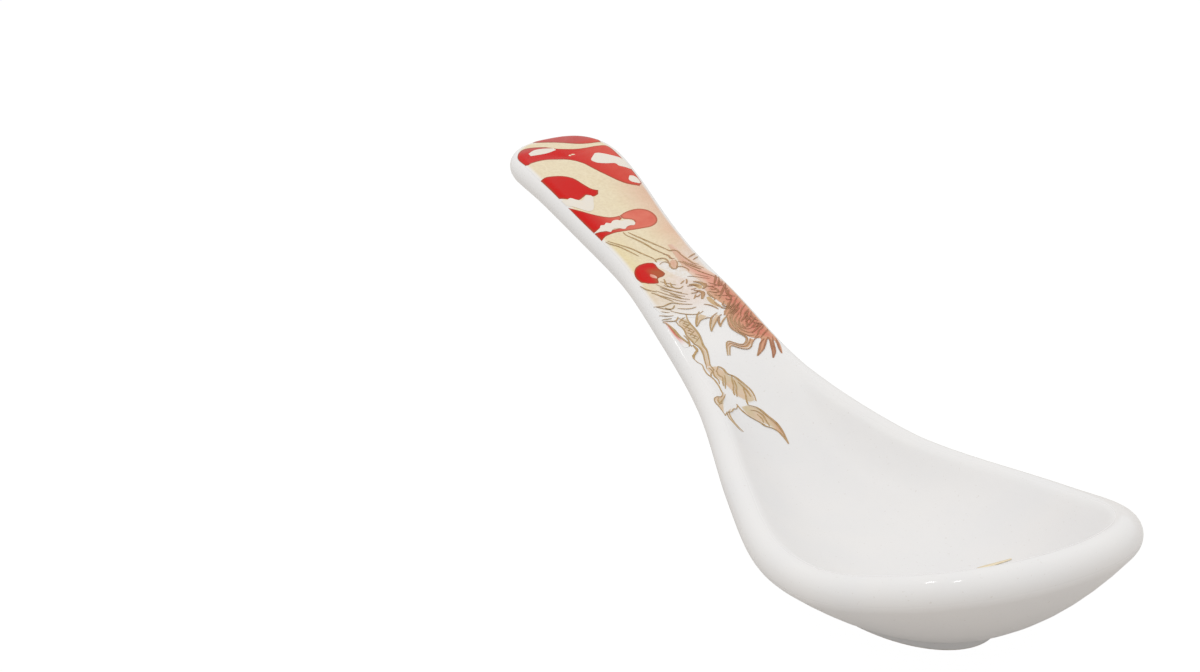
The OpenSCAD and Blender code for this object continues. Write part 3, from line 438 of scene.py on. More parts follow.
# A bundle of strands is [layer, share of the line width, how many, first strand, last strand].
HANDLE_STRAND_SHARES = [
    [2, 0.65, 4,
        [[0.612, -0.6], [0.628, -0.42], [0.645, -0.2], [0.655, -0.02]],
        [[0.64, -0.78], [0.654, -0.55], [0.668, -0.32], [0.676, -0.1]]],
    [2, 0.65, 3,
        [[0.604, -0.44], [0.612, -0.3], [0.622, -0.12]],
        [[0.622, -0.56], [0.634, -0.38], [0.646, -0.12]]],
    [2, 0.65, 3,
        [[0.674, -0.95], [0.684, -0.82], [0.69, -0.66]],
        [[0.694, -1], [0.704, -0.86], [0.705, -0.7]]],
    [2, 0.65, 3,
        [[0.606, 0.3], [0.61, 0.42], [0.62, 0.56], [0.632, 0.72]],
        [[0.6, 0.62], [0.612, 0.72], [0.625, 0.82], [0.636, 0.92]]],
    [2, 0.65, 3,
        [[0.56, 0.5], [0.58, 0.66], [0.6, 0.82]],
        [[0.572, 0.48], [0.596, 0.62], [0.618, 0.76]]],
    [2, 0.8, 3,
        [[0.63, 0.98], [0.645, 0.86], [0.655, 0.76]],
        [[0.65, 1], [0.662, 0.9], [0.672, 0.84]]],
    [2, 0.8, 4,
        [[0.694, 0.98], [0.706, 0.82], [0.718, 0.7], [0.727, 0.6]],
        [[0.73, 1], [0.737, 0.88], [0.743, 0.78], [0.752, 0.72]]],
    [2, 0.8, 3,
        [[0.708, 0.68], [0.715, 0.57], [0.722, 0.46], [0.73, 0.37]],
        [[0.724, 0.7], [0.73, 0.58], [0.736, 0.48], [0.744, 0.42]]],
    [2, 1, 4,
        [[0.632, 0.1], [0.633, 0.2], [0.637, 0.32]],
        [[0.664, 0.04], [0.666, 0.16], [0.66, 0.3]]],
    [3, 1, 4,
        [[0.626, 0.93], [0.638, 0.83], [0.65, 0.7]],
        [[0.67, 0.94], [0.68, 0.84], [0.694, 0.68]]],
    [3, 1, 4,
        [[0.7, 0.78], [0.709, 0.64], [0.717, 0.5]],
        [[0.723, 0.86], [0.731, 0.66], [0.738, 0.5]]],
    [3, 1.2, 5,
        [[0.738, 0.92], [0.748, 0.76], [0.757, 0.6]],
        [[0.775, 0.98], [0.783, 0.8], [0.79, 0.62]]],
    [3, 0.8, 4,
        [[0.645, 0.5], [0.652, 0.6], [0.655, 0.72]],
        [[0.672, 0.48], [0.68, 0.58], [0.681, 0.68]]],
    [1, 0.7, 7,
        [[0.712, -0.46], [0.716, -0.56], [0.724, -0.68]],
        [[0.768, -0.46], [0.773, -0.54], [0.78, -0.62]]],
    [1, 0.7, 6,
        [[0.713, -0.62], [0.721, -0.56], [0.73, -0.46]],
        [[0.762, -0.66], [0.768, -0.57], [0.777, -0.49]]],
]
# The print in the bowl. Places are [share of the tip's length past the widest part, share of
# half the bowl's width].
BOWL_RED_SHARES = [
    [1, 4,
        [[-0.03, -0.28], [-0.015, -0.36], [0.03, -0.43], [0.1, -0.47], [0.17, -0.45], [0.225, -0.38],
            [0.25, -0.28]],
        [[-0.03, -0.27], [-0.015, -0.2], [0.03, -0.12], [0.1, -0.09], [0.17, -0.1], [0.225, -0.17],
            [0.25, -0.27]]],
]
BOWL_LINE_SHARES = [
    [1, 2.6, [[0.07, 0.44], [0.03, 0.37], [0, 0.29], [0, 0.2], [-0.05, 0.12], [-0.07, 0],
        [-0.13, -0.12], [-0.12, -0.26]]],
    [1, 1.4, [[0.29, 0.36], [0.21, 0.3], [0.17, 0.2], [0.21, 0.11], [0.27, 0.15]]],
    [1, 1.6, [[0.3, -0.02], [0.37, -0.08], [0.42, -0.18], [0.38, -0.3], [0.4, -0.42]]],
    [1, 1.2, [[0.06, 0.02], [0.12, 0.05], [0.2, 0.02], [0.27, -0.06]]],
    [1, 1.3, [[0.01, 0.2], [0.05, 0.22], [0.09, 0.17], [0.1, 0.09], [0.07, 0.06]]],
    [1, 1.2, [[-0.04, 0.13], [0, 0.14], [0.03, 0.09], [0.01, 0.03], [-0.02, 0.05]]],
    [1, 1.2, [[-0.06, 0], [-0.02, 0.01], [0.01, -0.05], [-0.02, -0.11], [-0.06, -0.08]]],
    [1, 1.2, [[-0.12, -0.13], [-0.08, -0.12], [-0.06, -0.18], [-0.09, -0.24]]],
    [1, 1.4, [[0.27, 0.15], [0.3, 0.2], [0.27, 0.25], [0.23, 0.23], [0.23, 0.18]]],
    [1, 1.3, [[0.31, -0.02], [0.35, 0.03], [0.41, 0.02], [0.45, -0.05], [0.43, -0.12]]],
    [1, 1.2, [[0.41, -0.18], [0.36, -0.19], [0.34, -0.25], [0.37, -0.3]]],
]

# Powers of the curves round the handle's end and the tip, of the bowl's inner and outer section, and
# of the handle's dish across and along it
END_POWER = 2.5
TIP_POWER = 2.15
INNER_POWER = 2.6
OUTER_POWER = 2.2
DISH_POWER = 2
DISH_END_POWER = 1

# One layer of print above the next, as a share of the film's thickness, and the width of a line's ends
# as a share of its middle
LAYER_SHARE = 1.5
LINE_END_SHARE = 0.4
# Every second strand of a bundle: its width, and how far each end is drawn in towards the next place
FINE_STRAND_SHARE = 0.8
STRAND_TRIM_SHARE = 0.4

# Angles in degrees from which an edge of a film or of the foot looks sharp
FILM_SHARP = 40
FOOT_SHARP = 60


# The rule of the shape


def lerp(a, b, t):
    return a + (b - a) * t


def smooth(t):
    c = min(1.0, max(0.0, t))
    return c * c * (3 - 2 * c)


def knot_curve(knots, x, flat=False):
    """The value at x of a smooth curve through (place, value) knots."""
    last = len(knots) - 1
    i = 0
    while i < last - 1 and x >= knots[i + 1][0]:
        i += 1

    def slope(n):
        if flat and n in (0, last):
            return 0.0
        a, b = knots[max(n - 1, 0)], knots[min(n + 1, last)]
        return (b[1] - a[1]) / (b[0] - a[0])

    w = knots[i + 1][0] - knots[i][0]
    t = (x - knots[i][0]) / w
    a, b = knots[i][1], knots[i + 1][1]
    p, q = w * slope(i), w * slope(i + 1)
    return a + p * t + (3 * (b - a) - 2 * p - q) * t**2 + (2 * (a - b) + p + q) * t**3


def between(x0, x1, v0, v1, shares):
    return [(lerp(x0, x1, a), lerp(v0, v1, b)) for a, b in shares]


class Shape:
    """The porcelain's shape in millimetres, with x measured from the end of the handle."""

    def __init__(self):
        scene = bpy.context.scene
        # A property keeps single precision, so each size is rounded back to what was set
        for group, kind in ((scene.spoon_sizes, SpoonSizes), (scene.spoon_foot, FootSizes)):
            for name in kind.__annotations__:
                setattr(self, name, round(getattr(group, name) / MM, 4))
        self.waist_at = self.spoon_len * WAIST_SHARE
        self.bowl_start_at = self.spoon_len * BOWL_START_SHARE
        self.neck_at = self.spoon_len * NECK_SHARE
        self.low_edge_at = self.spoon_len * LOW_EDGE_SHARE
        self.bowl_level_at = self.spoon_len * BOWL_LEVEL_SHARE
        self.print_len = self.spoon_len * PRINT_SHARE
        self.bowl_at = self.spoon_len - self.tip_len
        self.foot_at = self.spoon_len - self.foot_from_tip - self.foot_len / 2
        self.floor_z = self.foot_h + self.floor_t
        self.width_knots = (
            [(self.end_round, self.handle_end_w)]
            + between(self.end_round, self.waist_at, self.handle_end_w, self.waist_w, END_TO_WAIST_SHARES)
            + [(self.waist_at, self.waist_w)]
            + between(self.waist_at, self.neck_at, self.waist_w, self.neck_w, WAIST_TO_NECK_SHARES)
            + [(self.neck_at, self.neck_w)]
            + between(self.neck_at, self.bowl_at, self.neck_w, self.bowl_w, NECK_TO_BOWL_SHARES)
            + [(self.bowl_at, self.bowl_w)]
        )
        self.height_knots = (
            [(0, self.handle_end_h)]
            + between(0, self.low_edge_at, self.handle_end_h, self.neck_h, HANDLE_FALL_SHARES)
            + [(self.low_edge_at, self.neck_h), (self.bowl_at, self.rim_h), (self.spoon_len, self.tip_h)]
        )

    def half_width(self, x):
        return knot_curve(self.width_knots, x, True) / 2

    def edge_height(self, x):
        return knot_curve(self.height_knots, x)

    def bowl_share(self, x):
        return smooth((x - self.bowl_start_at) / (self.bowl_level_at - self.bowl_start_at))

    def stations(self, end_steps, side_steps, tip_steps):
        """Points of the edge as (x, half width, x that the section starts from)."""
        out = []
        for i in range(end_steps):
            a = math.pi / 2 * i / end_steps
            out.append((
                self.end_round * (1 - math.cos(a) ** (2 / END_POWER)),
                self.handle_end_w / 2 * math.sin(a) ** (2 / END_POWER),
                self.end_round,
            ))
        for i in range(side_steps + 1):
            x = lerp(self.end_round, self.bowl_at, i / side_steps)
            out.append((x, self.half_width(x), x))
        for i in range(1, tip_steps + 1):
            a = math.pi / 2 * i / tip_steps
            out.append((
                self.bowl_at + self.tip_len * math.sin(a) ** (2 / TIP_POWER),
                self.bowl_w / 2 * max(0.0, math.cos(a)) ** (2 / TIP_POWER),
                self.bowl_at,
            ))
        return out

    def section(self, s):
        """The section out to one point of the edge: lip radius, lip centre, crest height and
        the two faces, each as (middle height, reach, height at the lip, power, lip angle)."""
        reach = math.hypot(s[0] - s[2], s[1])
        lengthwise = abs(s[0] - s[2]) / reach
        b = self.bowl_share(s[2])
        r = lerp(self.handle_t, self.lip_t, b) / 2
        lip = reach - r
        h = self.edge_height(lerp(s[2] + (s[0] - s[2]) * lip / reach, s[0], b))
        middle = self.edge_height(s[2])
        top_z = lerp(middle - self.handle_dish, self.floor_z, b)
        under_z = lerp(middle - self.handle_t, self.foot_h, b)
        side_power = lerp(DISH_POWER, DISH_END_POWER, lengthwise)
        p, q = lerp(side_power, INNER_POWER, b), lerp(side_power, OUTER_POWER, b)
        ta = math.atan(p * (h - top_z) / lip)
        ua = math.atan(q * (h - 2 * r - under_z) / lip)
        top = (top_z, lip - r * math.sin(ta), h - r + r * math.cos(ta), p, ta)
        under = (under_z, lip + r * math.sin(ua), h - r - r * math.cos(ua), q, ua)
        return r, lip, h, top, under

    @staticmethod
    def face_height(face, t):
        return face[0] + (face[2] - face[0]) * t ** face[3]

    def section_points(self, c, top_steps, lip_steps, under_steps):
        r, lip, h, top, under = c
        out = []
        for i in range(1, top_steps + 1):
            t = i / (top_steps + 1)
            out.append((t * top[1], self.face_height(top, t)))
        for i in range(lip_steps + 1):
            a = lerp(math.pi / 2 + top[4], under[4] - math.pi / 2, i / lip_steps)
            out.append((lip + r * math.cos(a), h - r + r * math.sin(a)))
        for i in range(under_steps, 0, -1):
            t = i / (under_steps + 1)
            out.append((t * under[1], self.face_height(under, t)))
        return out

    def station_through(self, x, y):
        """The point of the edge on the line out through a place, as in stations."""
        start = max(self.end_round, min(self.bowl_at, x))
        if x == start:
            return x, self.half_width(x), x
        dx = x - start
        d = math.hypot(dx, y)
        a, b, power = (
            (self.end_round, self.handle_end_w / 2, END_POWER)
            if dx < 0
            else (self.tip_len, self.bowl_w / 2, TIP_POWER)
        )
        reach = (abs(dx / d / a) ** power + abs(y / d / b) ** power) ** (-1 / power)
        return start + reach * dx / d, reach * abs(y) / d, start

    def height(self, x, y, under=False):
        """Height of the top, or of the underside, at a place."""
        s = self.station_through(x, y)
        r, lip, h, top, below = self.section(s)
        d = math.hypot(x - s[2], y)
        face, sign = (below, -1) if under else (top, 1)
        if d <= face[1]:
            return self.face_height(face, d / face[1])
        return h - r + sign * math.sqrt(max(0.0, r * r - (d - lip) ** 2))

    def place(self, x, y, z):
        """A point of the row frame, in metres."""
        return ((x - self.foot_at) * MM, y * MM, z * MM)


# Meshes


def mesh_object(name, points, faces, material):
    mesh = bpy.data.meshes.new(name)
    mesh.from_pydata(points, [], faces)
    mesh.validate()
    mesh.materials.append(material)
    mesh.shade_smooth()
    obj = bpy.data.objects.new(name, mesh)
    bpy.context.scene.collection.objects.link(obj)
    return obj


def skin(rings, loop):
    """Faces between closed rings of points, each ring with as many points as loop says."""
    return [
        (j * loop + i, (j + 1) * loop + i, (j + 1) * loop + (i + 1) % loop, j * loop + (i + 1) % loop)
        for j in range(rings - 1)
        for i in range(loop)
    ]


def mark(obj, name, values):
    """Stores a value on each point, for a finish to read."""
    obj.data.attributes.new(name, "FLOAT", "POINT").data.foreach_set("value", values)


def sharpen(obj, degrees):
    """Marks the edges that turn by more than an angle as sharp."""
    bm = bmesh.new()
    bm.from_mesh(obj.data)
    limit = math.radians(degrees)
    for edge in bm.edges:
        edge.smooth = len(edge.link_faces) == 2 and edge.calc_face_angle(0.0) < limit
    bm.to_mesh(obj.data)
    bm.free()


def body_mesh(shape, end_steps=20, side_steps=130, tip_steps=40, top_steps=16, lip_steps=14, under_steps=12):
    """The loft of the bowl, handle and lip as one closed skin, and which points lie on the lip."""
    stations = shape.stations(end_steps, side_steps, tip_steps)
    columns = []
    for s in stations:
        reach = math.hypot(s[0] - s[2], s[1])
        d = ((s[0] - s[2]) / reach, s[1] / reach)
        points = shape.section_points(shape.section(s), top_steps, lip_steps, under_steps)
        columns.append([(s[2] + d[0] * p[0], d[1] * p[0], p[1]) for p in points])
    last = len(stations) - 1
    loop = 2 * last
    rings = len(columns[0])
    points = []
    for j in range(rings):
        for m in range(loop):
            x, y, z = columns[m][j] if m <= last else columns[loop - m][j]
            points.append(shape.place(x, y if m <= last else -y, z))

    def at(j, m):
        return j * loop + m % loop

    faces = [face[::-1] for face in skin(rings, loop)]
    for j, top in ((0, True), (rings - 1, False)):
        for i in range(last):
            quad = [at(j, loop - i), at(j, loop - i - 1), at(j, i + 1), at(j, i)]
            quad = list(dict.fromkeys(quad))
            faces.append(quad if top else quad[::-1])
    lip = [float(top_steps + 2 < j < top_steps + lip_steps - 2) for j in range(rings) for m in range(loop)]
    return points, faces, lip


def foot_mesh(shape, steps=120, arc=5):
    """The foot as a closed oval block with a rounded ring and a shallow hollow."""
    edge, fillet = shape.edge_round, shape.fillet
    rows = []

    def row(inset, z=None, drop=0.0, scale=1.0):
        out = []
        for i in range(steps):
            a = 2 * math.pi * i / steps
            x = (shape.foot_len / 2 - inset) * math.cos(a) * scale
            y = (shape.foot_w / 2 - inset) * math.sin(a) * scale
            level = shape.height(shape.foot_at + x, y, under=True) - drop if z is None else z
            out.append((x * MM, y * MM, level * MM))
        rows.append(out)

    row(shape.foot_sink, drop=-shape.foot_sink)
    row(-fillet, drop=-shape.fillet_sink)
    turns = [math.pi / 2 * k / arc for k in range(arc + 1)]
    for a in turns[1:]:
        row(-fillet * (1 - math.sin(a)), drop=fillet * (1 - math.cos(a)))
    for a in turns:
        row(edge * (1 - math.cos(a)), z=edge * (1 - math.sin(a)))
    for a in turns:
        row(shape.ring_w - edge * (1 - math.sin(a)), z=edge * (1 - math.cos(a)))
    row(shape.ring_w, z=shape.hollow)
    row(shape.ring_w, z=shape.hollow, scale=0.5)
    points = [p for r in rows for p in r]
    faces = skin(len(rows), steps)
    # The block closes inside the porcelain and in the middle of the hollow
    for j, z, flip in ((0, shape.floor_z / 2, False), (len(rows) - 1, shape.hollow, True)):
        points.append((0.0, 0.0, z * MM))
        for i in range(steps):
            tri = (j * steps + i, j * steps + (i + 1) % steps, len(points) - 1)
            faces.append(tri[::-1] if flip else tri)
    return points, faces


# Places of the print


def run(knots, steps):
    """A smooth run of points through places."""
    k = [np.array(p, float) for p in knots]
    out = []
    for i in range(len(k) - 1):
        a, b, c, d = k[max(i - 1, 0)], k[i], k[i + 1], k[min(i + 2, len(k) - 1)]
        for j in range(steps):
            t = j / steps
            curve = 2 * b + (c - a) * t + (2 * a - 5 * b + 4 * c - d) * t**2 + (3 * b - a - 3 * c + d) * t**3
            out.append(curve / 2)
    return out + [k[-1]]


def strands(bundles):
    """The strands of each bundle; every second one is finer and a little shorter."""
    rows = []
    for layer, width, many, first, last in bundles:
        for i in range(many):
            k = [[lerp(a, b, i / (many - 1)) for a, b in zip(p, q)] for p, q in zip(first, last)]
            if i % 2:
                k[0] = [lerp(a, b, STRAND_TRIM_SHARE) for a, b in zip(k[0], k[1])]
                k[-1] = [lerp(a, b, STRAND_TRIM_SHARE) for a, b in zip(k[-1], k[-2])]
            rows.append([layer, width * (FINE_STRAND_SHARE if i % 2 else 1.0), k])
    return rows


class Printer:
    """Lays films and lines of print on the glaze."""

    def __init__(self, shape):
        self.shape = shape
        p = bpy.context.scene.spoon_print
        self.film_t, self.seat, self.line_w = p.film_t / MM, p.seat / MM, p.line_w / MM
        self.margin, self.steps, self.across_steps = p.margin / MM, p.run_steps, p.across_steps

    def handle_place(self, p):
        x = p[0] * self.shape.print_len
        return x, p[1] * (self.shape.half_width(max(self.shape.end_round, x)) - self.margin)

    def bowl_place(self, p):
        return self.shape.bowl_at + p[0] * self.shape.tip_len, p[1] * self.shape.bowl_w / 2

    def lift(self, layer):
        """Height of a layer's underside above the glaze."""
        return self.seat + layer * self.film_t * LAYER_SHARE

    def film(self, points, faces, depths, table_row, place):
        """Adds one patch, as a closed film, to the lists, with how deep each point lies in it."""
        layer, across, a, b = table_row
        across *= self.across_steps
        left = run([place(p) for p in a], self.steps)
        right = run([place(p) for p in b], self.steps)
        rows = [
            [lerp(p, q, (1 - math.cos(math.pi * j / across)) / 2) for j in range(across + 1)]
            for p, q in zip(left, right)
        ]
        outline = [r[0] for r in rows] + [r[-1] for r in rows[::-1]]
        turn = sum(p[0] * q[1] - q[0] * p[1] for p, q in zip(outline, outline[1:] + outline[:1]))
        if turn < 0:
            rows = [r[::-1] for r in rows]
        n, m, first = len(rows), across + 1, len(points)
        for above in (0.0, self.film_t):
            for r in rows:
                for p in r:
                    z = self.shape.height(p[0], p[1]) + self.lift(layer) + above
                    points.append(self.shape.place(p[0], p[1], z))

        def at(up, i, j):
            return first + (up * n + i) * m + j

        for i in range(n - 1):
            for j in range(m - 1):
                faces.append((at(1, i, j), at(1, i + 1, j), at(1, i + 1, j + 1), at(1, i, j + 1)))
                faces.append((at(0, i, j), at(0, i, j + 1), at(0, i + 1, j + 1), at(0, i + 1, j)))
        edge = [(i, 0) for i in range(n)] + [(n - 1, j) for j in range(1, m)]
        edge += [(i, m - 1) for i in range(n - 2, -1, -1)] + [(0, j) for j in range(m - 2, 0, -1)]
        for (i, j), (k, h) in zip(edge, edge[1:] + edge[:1]):
            faces.append((at(0, i, j), at(0, k, h), at(1, k, h), at(1, i, j)))
        outline = np.array([rows[i][j] for i, j in edge])
        near = [float(np.hypot(*(outline - p).T).min()) for r in rows for p in r]
        depths.extend(near * 2)

    def films(self, name, table, place, material):
        points, faces, depths = [], [], []
        for table_row in table:
            self.film(points, faces, depths, table_row, place)
        obj = mesh_object(name, points, faces, material)
        mark(obj, "depth", depths)
        sharpen(obj, FILM_SHARP)
        return obj

    def lines(self, name, table, place, material):
        """Printed lines: curves on the glaze that a node tree turns into tapered ribbons."""
        data = bpy.data.curves.new(name + "_path", "CURVE")
        data.dimensions = "3D"
        for layer, width, knots in table:
            way = run([place(p) for p in knots], self.steps)
            spline = data.splines.new("POLY")
            spline.points.add(len(way) - 1)
            for i, (point, p) in enumerate(zip(spline.points, way)):
                z = self.shape.height(p[0], p[1]) + self.lift(layer) + self.film_t / 2
                point.co = (*self.shape.place(p[0], p[1], z), 1)
                swell = math.sin(math.pi * i / (len(way) - 1))
                point.radius = width * lerp(LINE_END_SHARE, 1.0, swell)
        path = bpy.data.objects.new(name + "_path", data)
        bpy.context.scene.collection.objects.link(path)
        tree = ribbon_tree(material)
        return bake_nodes(path, tree, name, {"Width": self.line_w * MM, "Thickness": self.film_t * MM})


# Node trees


class Nodes:
    """Short calls that build a tree of nodes."""

    def __init__(self, tree):
        self.tree = tree
        tree.nodes.clear()

    def node(self, kind, inputs, **settings):
        """The outputs of a new node. Each input is a value or another node's output."""
        node = self.tree.nodes.new(kind)
        for key, value in settings.items():
            setattr(node, key, value)
        for key, value in inputs.items():
            if isinstance(value, bpy.types.NodeSocket):
                self.tree.links.new(value, node.inputs[key])
            else:
                node.inputs[key].default_value = value
        return node.outputs

    def maths(self, operation, a, b=0.0):
        return self.node("ShaderNodeMath", {0: a, 1: b}, operation=operation)[0]


def ribbon_tree(material):
    """Curve to a flat ribbon that lies level across its way and follows the curve's radius."""
    tree = bpy.data.node_groups.new("printed_line", "GeometryNodeTree")
    socket = tree.interface.new_socket
    socket("Geometry", in_out="INPUT", socket_type="NodeSocketGeometry")
    socket("Width", in_out="INPUT", socket_type="NodeSocketFloat")
    socket("Thickness", in_out="INPUT", socket_type="NodeSocketFloat")
    socket("Geometry", in_out="OUTPUT", socket_type="NodeSocketGeometry")
    nodes = Nodes(tree)
    start = nodes.node("NodeGroupInput", {})
    level = nodes.node("GeometryNodeSetCurveNormal", {"Curve": start["Geometry"]}, mode="Z_UP")
    sizes = {"Width": start["Width"], "Height": start["Thickness"]}
    profile = nodes.node("GeometryNodeCurvePrimitiveQuadrilateral", sizes)
    sweep = nodes.node("GeometryNodeCurveToMesh", {
        "Curve": level["Curve"],
        "Profile Curve": profile["Curve"],
        "Scale": nodes.node("GeometryNodeInputRadius", {})["Radius"],
        "Fill Caps": True,
    })
    real = nodes.node("GeometryNodeRealizeInstances", {"Geometry": sweep["Mesh"]})
    paint = nodes.node("GeometryNodeSetMaterial", {"Geometry": real["Geometry"], "Material": material})
    nodes.node("NodeGroupOutput", {"Geometry": paint["Geometry"]})
    return tree


def bake_nodes(source, tree, name, sizes):
    """Runs a node tree on an object and keeps the result as a plain mesh."""
    modifier = source.modifiers.new(tree.name, "NODES")
    modifier.node_group = tree
    for item in tree.interface.items_tree:
        if item.in_out == "INPUT" and item.name in sizes:
            modifier[item.identifier] = sizes[item.name]
    bpy.context.view_layer.update()
    evaluated = source.evaluated_get(bpy.context.evaluated_depsgraph_get())
    mesh = bpy.data.meshes.new_from_object(evaluated)
    mesh.name = name
    source.modifiers.remove(modifier)
    obj = bpy.data.objects.new(name, mesh)
    bpy.context.scene.collection.objects.link(obj)
    bpy.data.objects.remove(source)
    return obj


# Materials


class Finish(Nodes):
    """One node material, built from Object coordinates in millimetres from the handle's end."""

    def __init__(self, name):
        self.material = bpy.data.materials.new(name)
        self.material.use_nodes = True
        super().__init__(self.material.node_tree)
        self.shape = Shape()
        self.colours = bpy.context.scene.spoon_colours
        self.place = self.node("ShaderNodeMapping", {
            "Vector": self.node("ShaderNodeTexCoord", {})["Object"],
            "Location": (self.shape.foot_at, 0, 0),
            "Scale": (1 / MM,) * 3,
        })["Vector"]
        self.x, self.y, self.z = self.node("ShaderNodeSeparateXYZ", {"Vector": self.place})

    def step(self, value, low, high):
        """0 up to low, 1 from high on and a smooth change between; low may be the larger one."""
        flip = low > high
        spread = {
            "Value": value,
            "From Min": min(low, high),
            "From Max": max(low, high),
            "To Min": float(flip),
            "To Max": float(not flip),
        }
        return self.node("ShaderNodeMapRange", spread, interpolation_type="SMOOTHSTEP")["Result"]

    def zone(self, x=None, y=None, strength=1.0):
        """Strength inside a zone and 0 outside it. Each range, in millimetres from the handle's end
        and from its middle line, runs from where the zone starts to where it is full."""
        out = strength
        for value, limits in ((self.x, x), (self.y, y)):
            if limits:
                out = self.maths("MULTIPLY", self.step(value, *limits), out)
        return out

    def noise(self, grain, detail=2.0, stretch=(1, 1, 1), low=0.0, high=1.0):
        """Noise whose grains are about grain millimetres across."""
        vector = self.place
        if stretch != (1, 1, 1):
            vector = self.node("ShaderNodeMapping", {"Vector": vector, "Scale": stretch})["Vector"]
        # Nearly all of a noise's values lie between 0.25 and 0.75
        grains = {"Vector": vector, "Scale": 1 / grain, "Detail": detail}
        return self.node("ShaderNodeMapRange", {
            "Value": self.node("ShaderNodeTexNoise", grains)["Fac"],
            "From Min": 0.25,
            "From Max": 0.75,
            "To Min": low,
            "To Max": high,
        })["Result"]

    def mix(self, share, a, b):
        a, b = (v if isinstance(v, bpy.types.NodeSocket) else (*v, 1.0) for v in (a, b))
        return self.node("ShaderNodeMix", {0: share, 6: a, 7: b}, data_type="RGBA")[2]

    def bump(self, height, distance, strength, under=None):
        """Bumps of up to distance millimetres, on top of the bumps under them where there are any."""
        inputs = {"Height": height, "Distance": distance * MM, "Strength": strength}
        if under is not None:
            inputs["Normal"] = under
        return self.node("ShaderNodeBump", inputs)["Normal"]

    def glaze_bump(self):
        """The slow waves that every fired glaze has."""
        return self.bump(self.noise(5.0, 1.0), distance=0.02, strength=0.25)

    def finish(self, base, roughness, normal, specular=0.5):
        """Ends the tree in one surface and gives back the material."""
        shader = self.node("ShaderNodeBsdfPrincipled", {
            "Base Color": base,
            "Roughness": roughness,
            "Normal": normal,
            "IOR": 1.5,
            "Specular IOR Level": specular,
        })
        self.node("ShaderNodeOutputMaterial", {"Surface": shader["BSDF"]})
        return self.material


def glaze_finish():
    """Soft white porcelain with a few specks, a glossier lip and a bare ring under the foot."""
    f = Finish("porcelain_glaze")
    c = f.colours
    cool = tuple(v * k for v, k in zip(c.porcelain, (0.965, 0.975, 0.99)))
    base = f.mix(f.noise(9.0, 3.0), c.porcelain, cool)
    speck = f.step(f.noise(0.35, 1.0), 0.97, 1.0)
    base = f.mix(f.maths("MULTIPLY", speck, 0.2), base, (0.45, 0.38, 0.32))
    bare = f.step(f.z, 0.8 * f.shape.edge_round, 0.35 * f.shape.edge_round)
    base = f.mix(bare, base, c.clay)
    lip = f.node("ShaderNodeAttribute", {}, attribute_name="lip")["Fac"]
    rough = f.maths("ADD", f.noise(6.0, 1.0, low=0.34, high=0.4), f.maths("MULTIPLY", bare, 0.4))
    rough = f.maths("SUBTRACT", rough, f.maths("MULTIPLY", lip, 0.28))
    clay = f.maths("MULTIPLY", f.noise(0.25, 3.0), bare)
    return f.finish(base, rough, f.bump(clay, distance=0.03, strength=0.6, under=f.glaze_bump()))


def printed(f, base, grain=0.1):
    """A printed colour under a thin glaze, with the fine uneven grain of the print."""
    base = f.mix(f.noise(0.22, high=grain), base, (0.86, 0.80, 0.70))
    gloss = f.noise(3.0, 1.0, low=0.26, high=0.36)
    return f.finish(base, gloss, f.glaze_bump(), specular=0.06)


def depth_share(f, far, near=0.0):
    """1 from the outline of a printed patch to near and 0 deeper than far, in millimetres."""
    return f.step(f.node("ShaderNodeAttribute", {}, attribute_name="depth")["Fac"], far, near)


def dark_edge(f, base):
    """A thin soft dark line round each printed patch."""
    width = bpy.context.scene.spoon_print.edge_w / MM
    return f.mix(f.maths("MULTIPLY", depth_share(f, width, 0.1 * width), 0.6), base, f.colours.outline)


def faded(f, base, share=1.0):
    """A patch that goes over into bare porcelain at its outline."""
    width = bpy.context.scene.spoon_print.fade_w / MM
    return f.mix(depth_share(f, share * width), base, f.colours.porcelain)


def red_finish():
    """Red with painted reflections, salmon on the far side and duller at the handle's end, and a brown tail
    on the pearl.
    """
    f = Finish("red_print")
    c = f.colours
    # Painted reflection: the red turns paler salmon towards the far side and over the lobe there
    thin = f.maths("MAXIMUM", f.zone(y=(-1, 7.5), strength=0.5), f.zone(x=(23.5, 26), y=(-5, 1)))
    base = f.mix(f.maths("MULTIPLY", thin, f.zone(x=(39, 36))), c.red, c.salmon)
    base = f.mix(f.zone(x=(41.3, 43), y=(-3.8, -2.2)), base, (0.42, 0.11, 0.04))
    # Painted reflection: a duller, pinkish red at the handle's end, where the glaze catches the light
    base = f.mix(f.zone(x=(6.5, 4)), base, (0.52, 0.12, 0.11))
    base = f.mix(f.noise(1.6, 3.0, high=0.3), base, (0.50, 0.02, 0.015))
    return printed(f, dark_edge(f, base), 0.0)


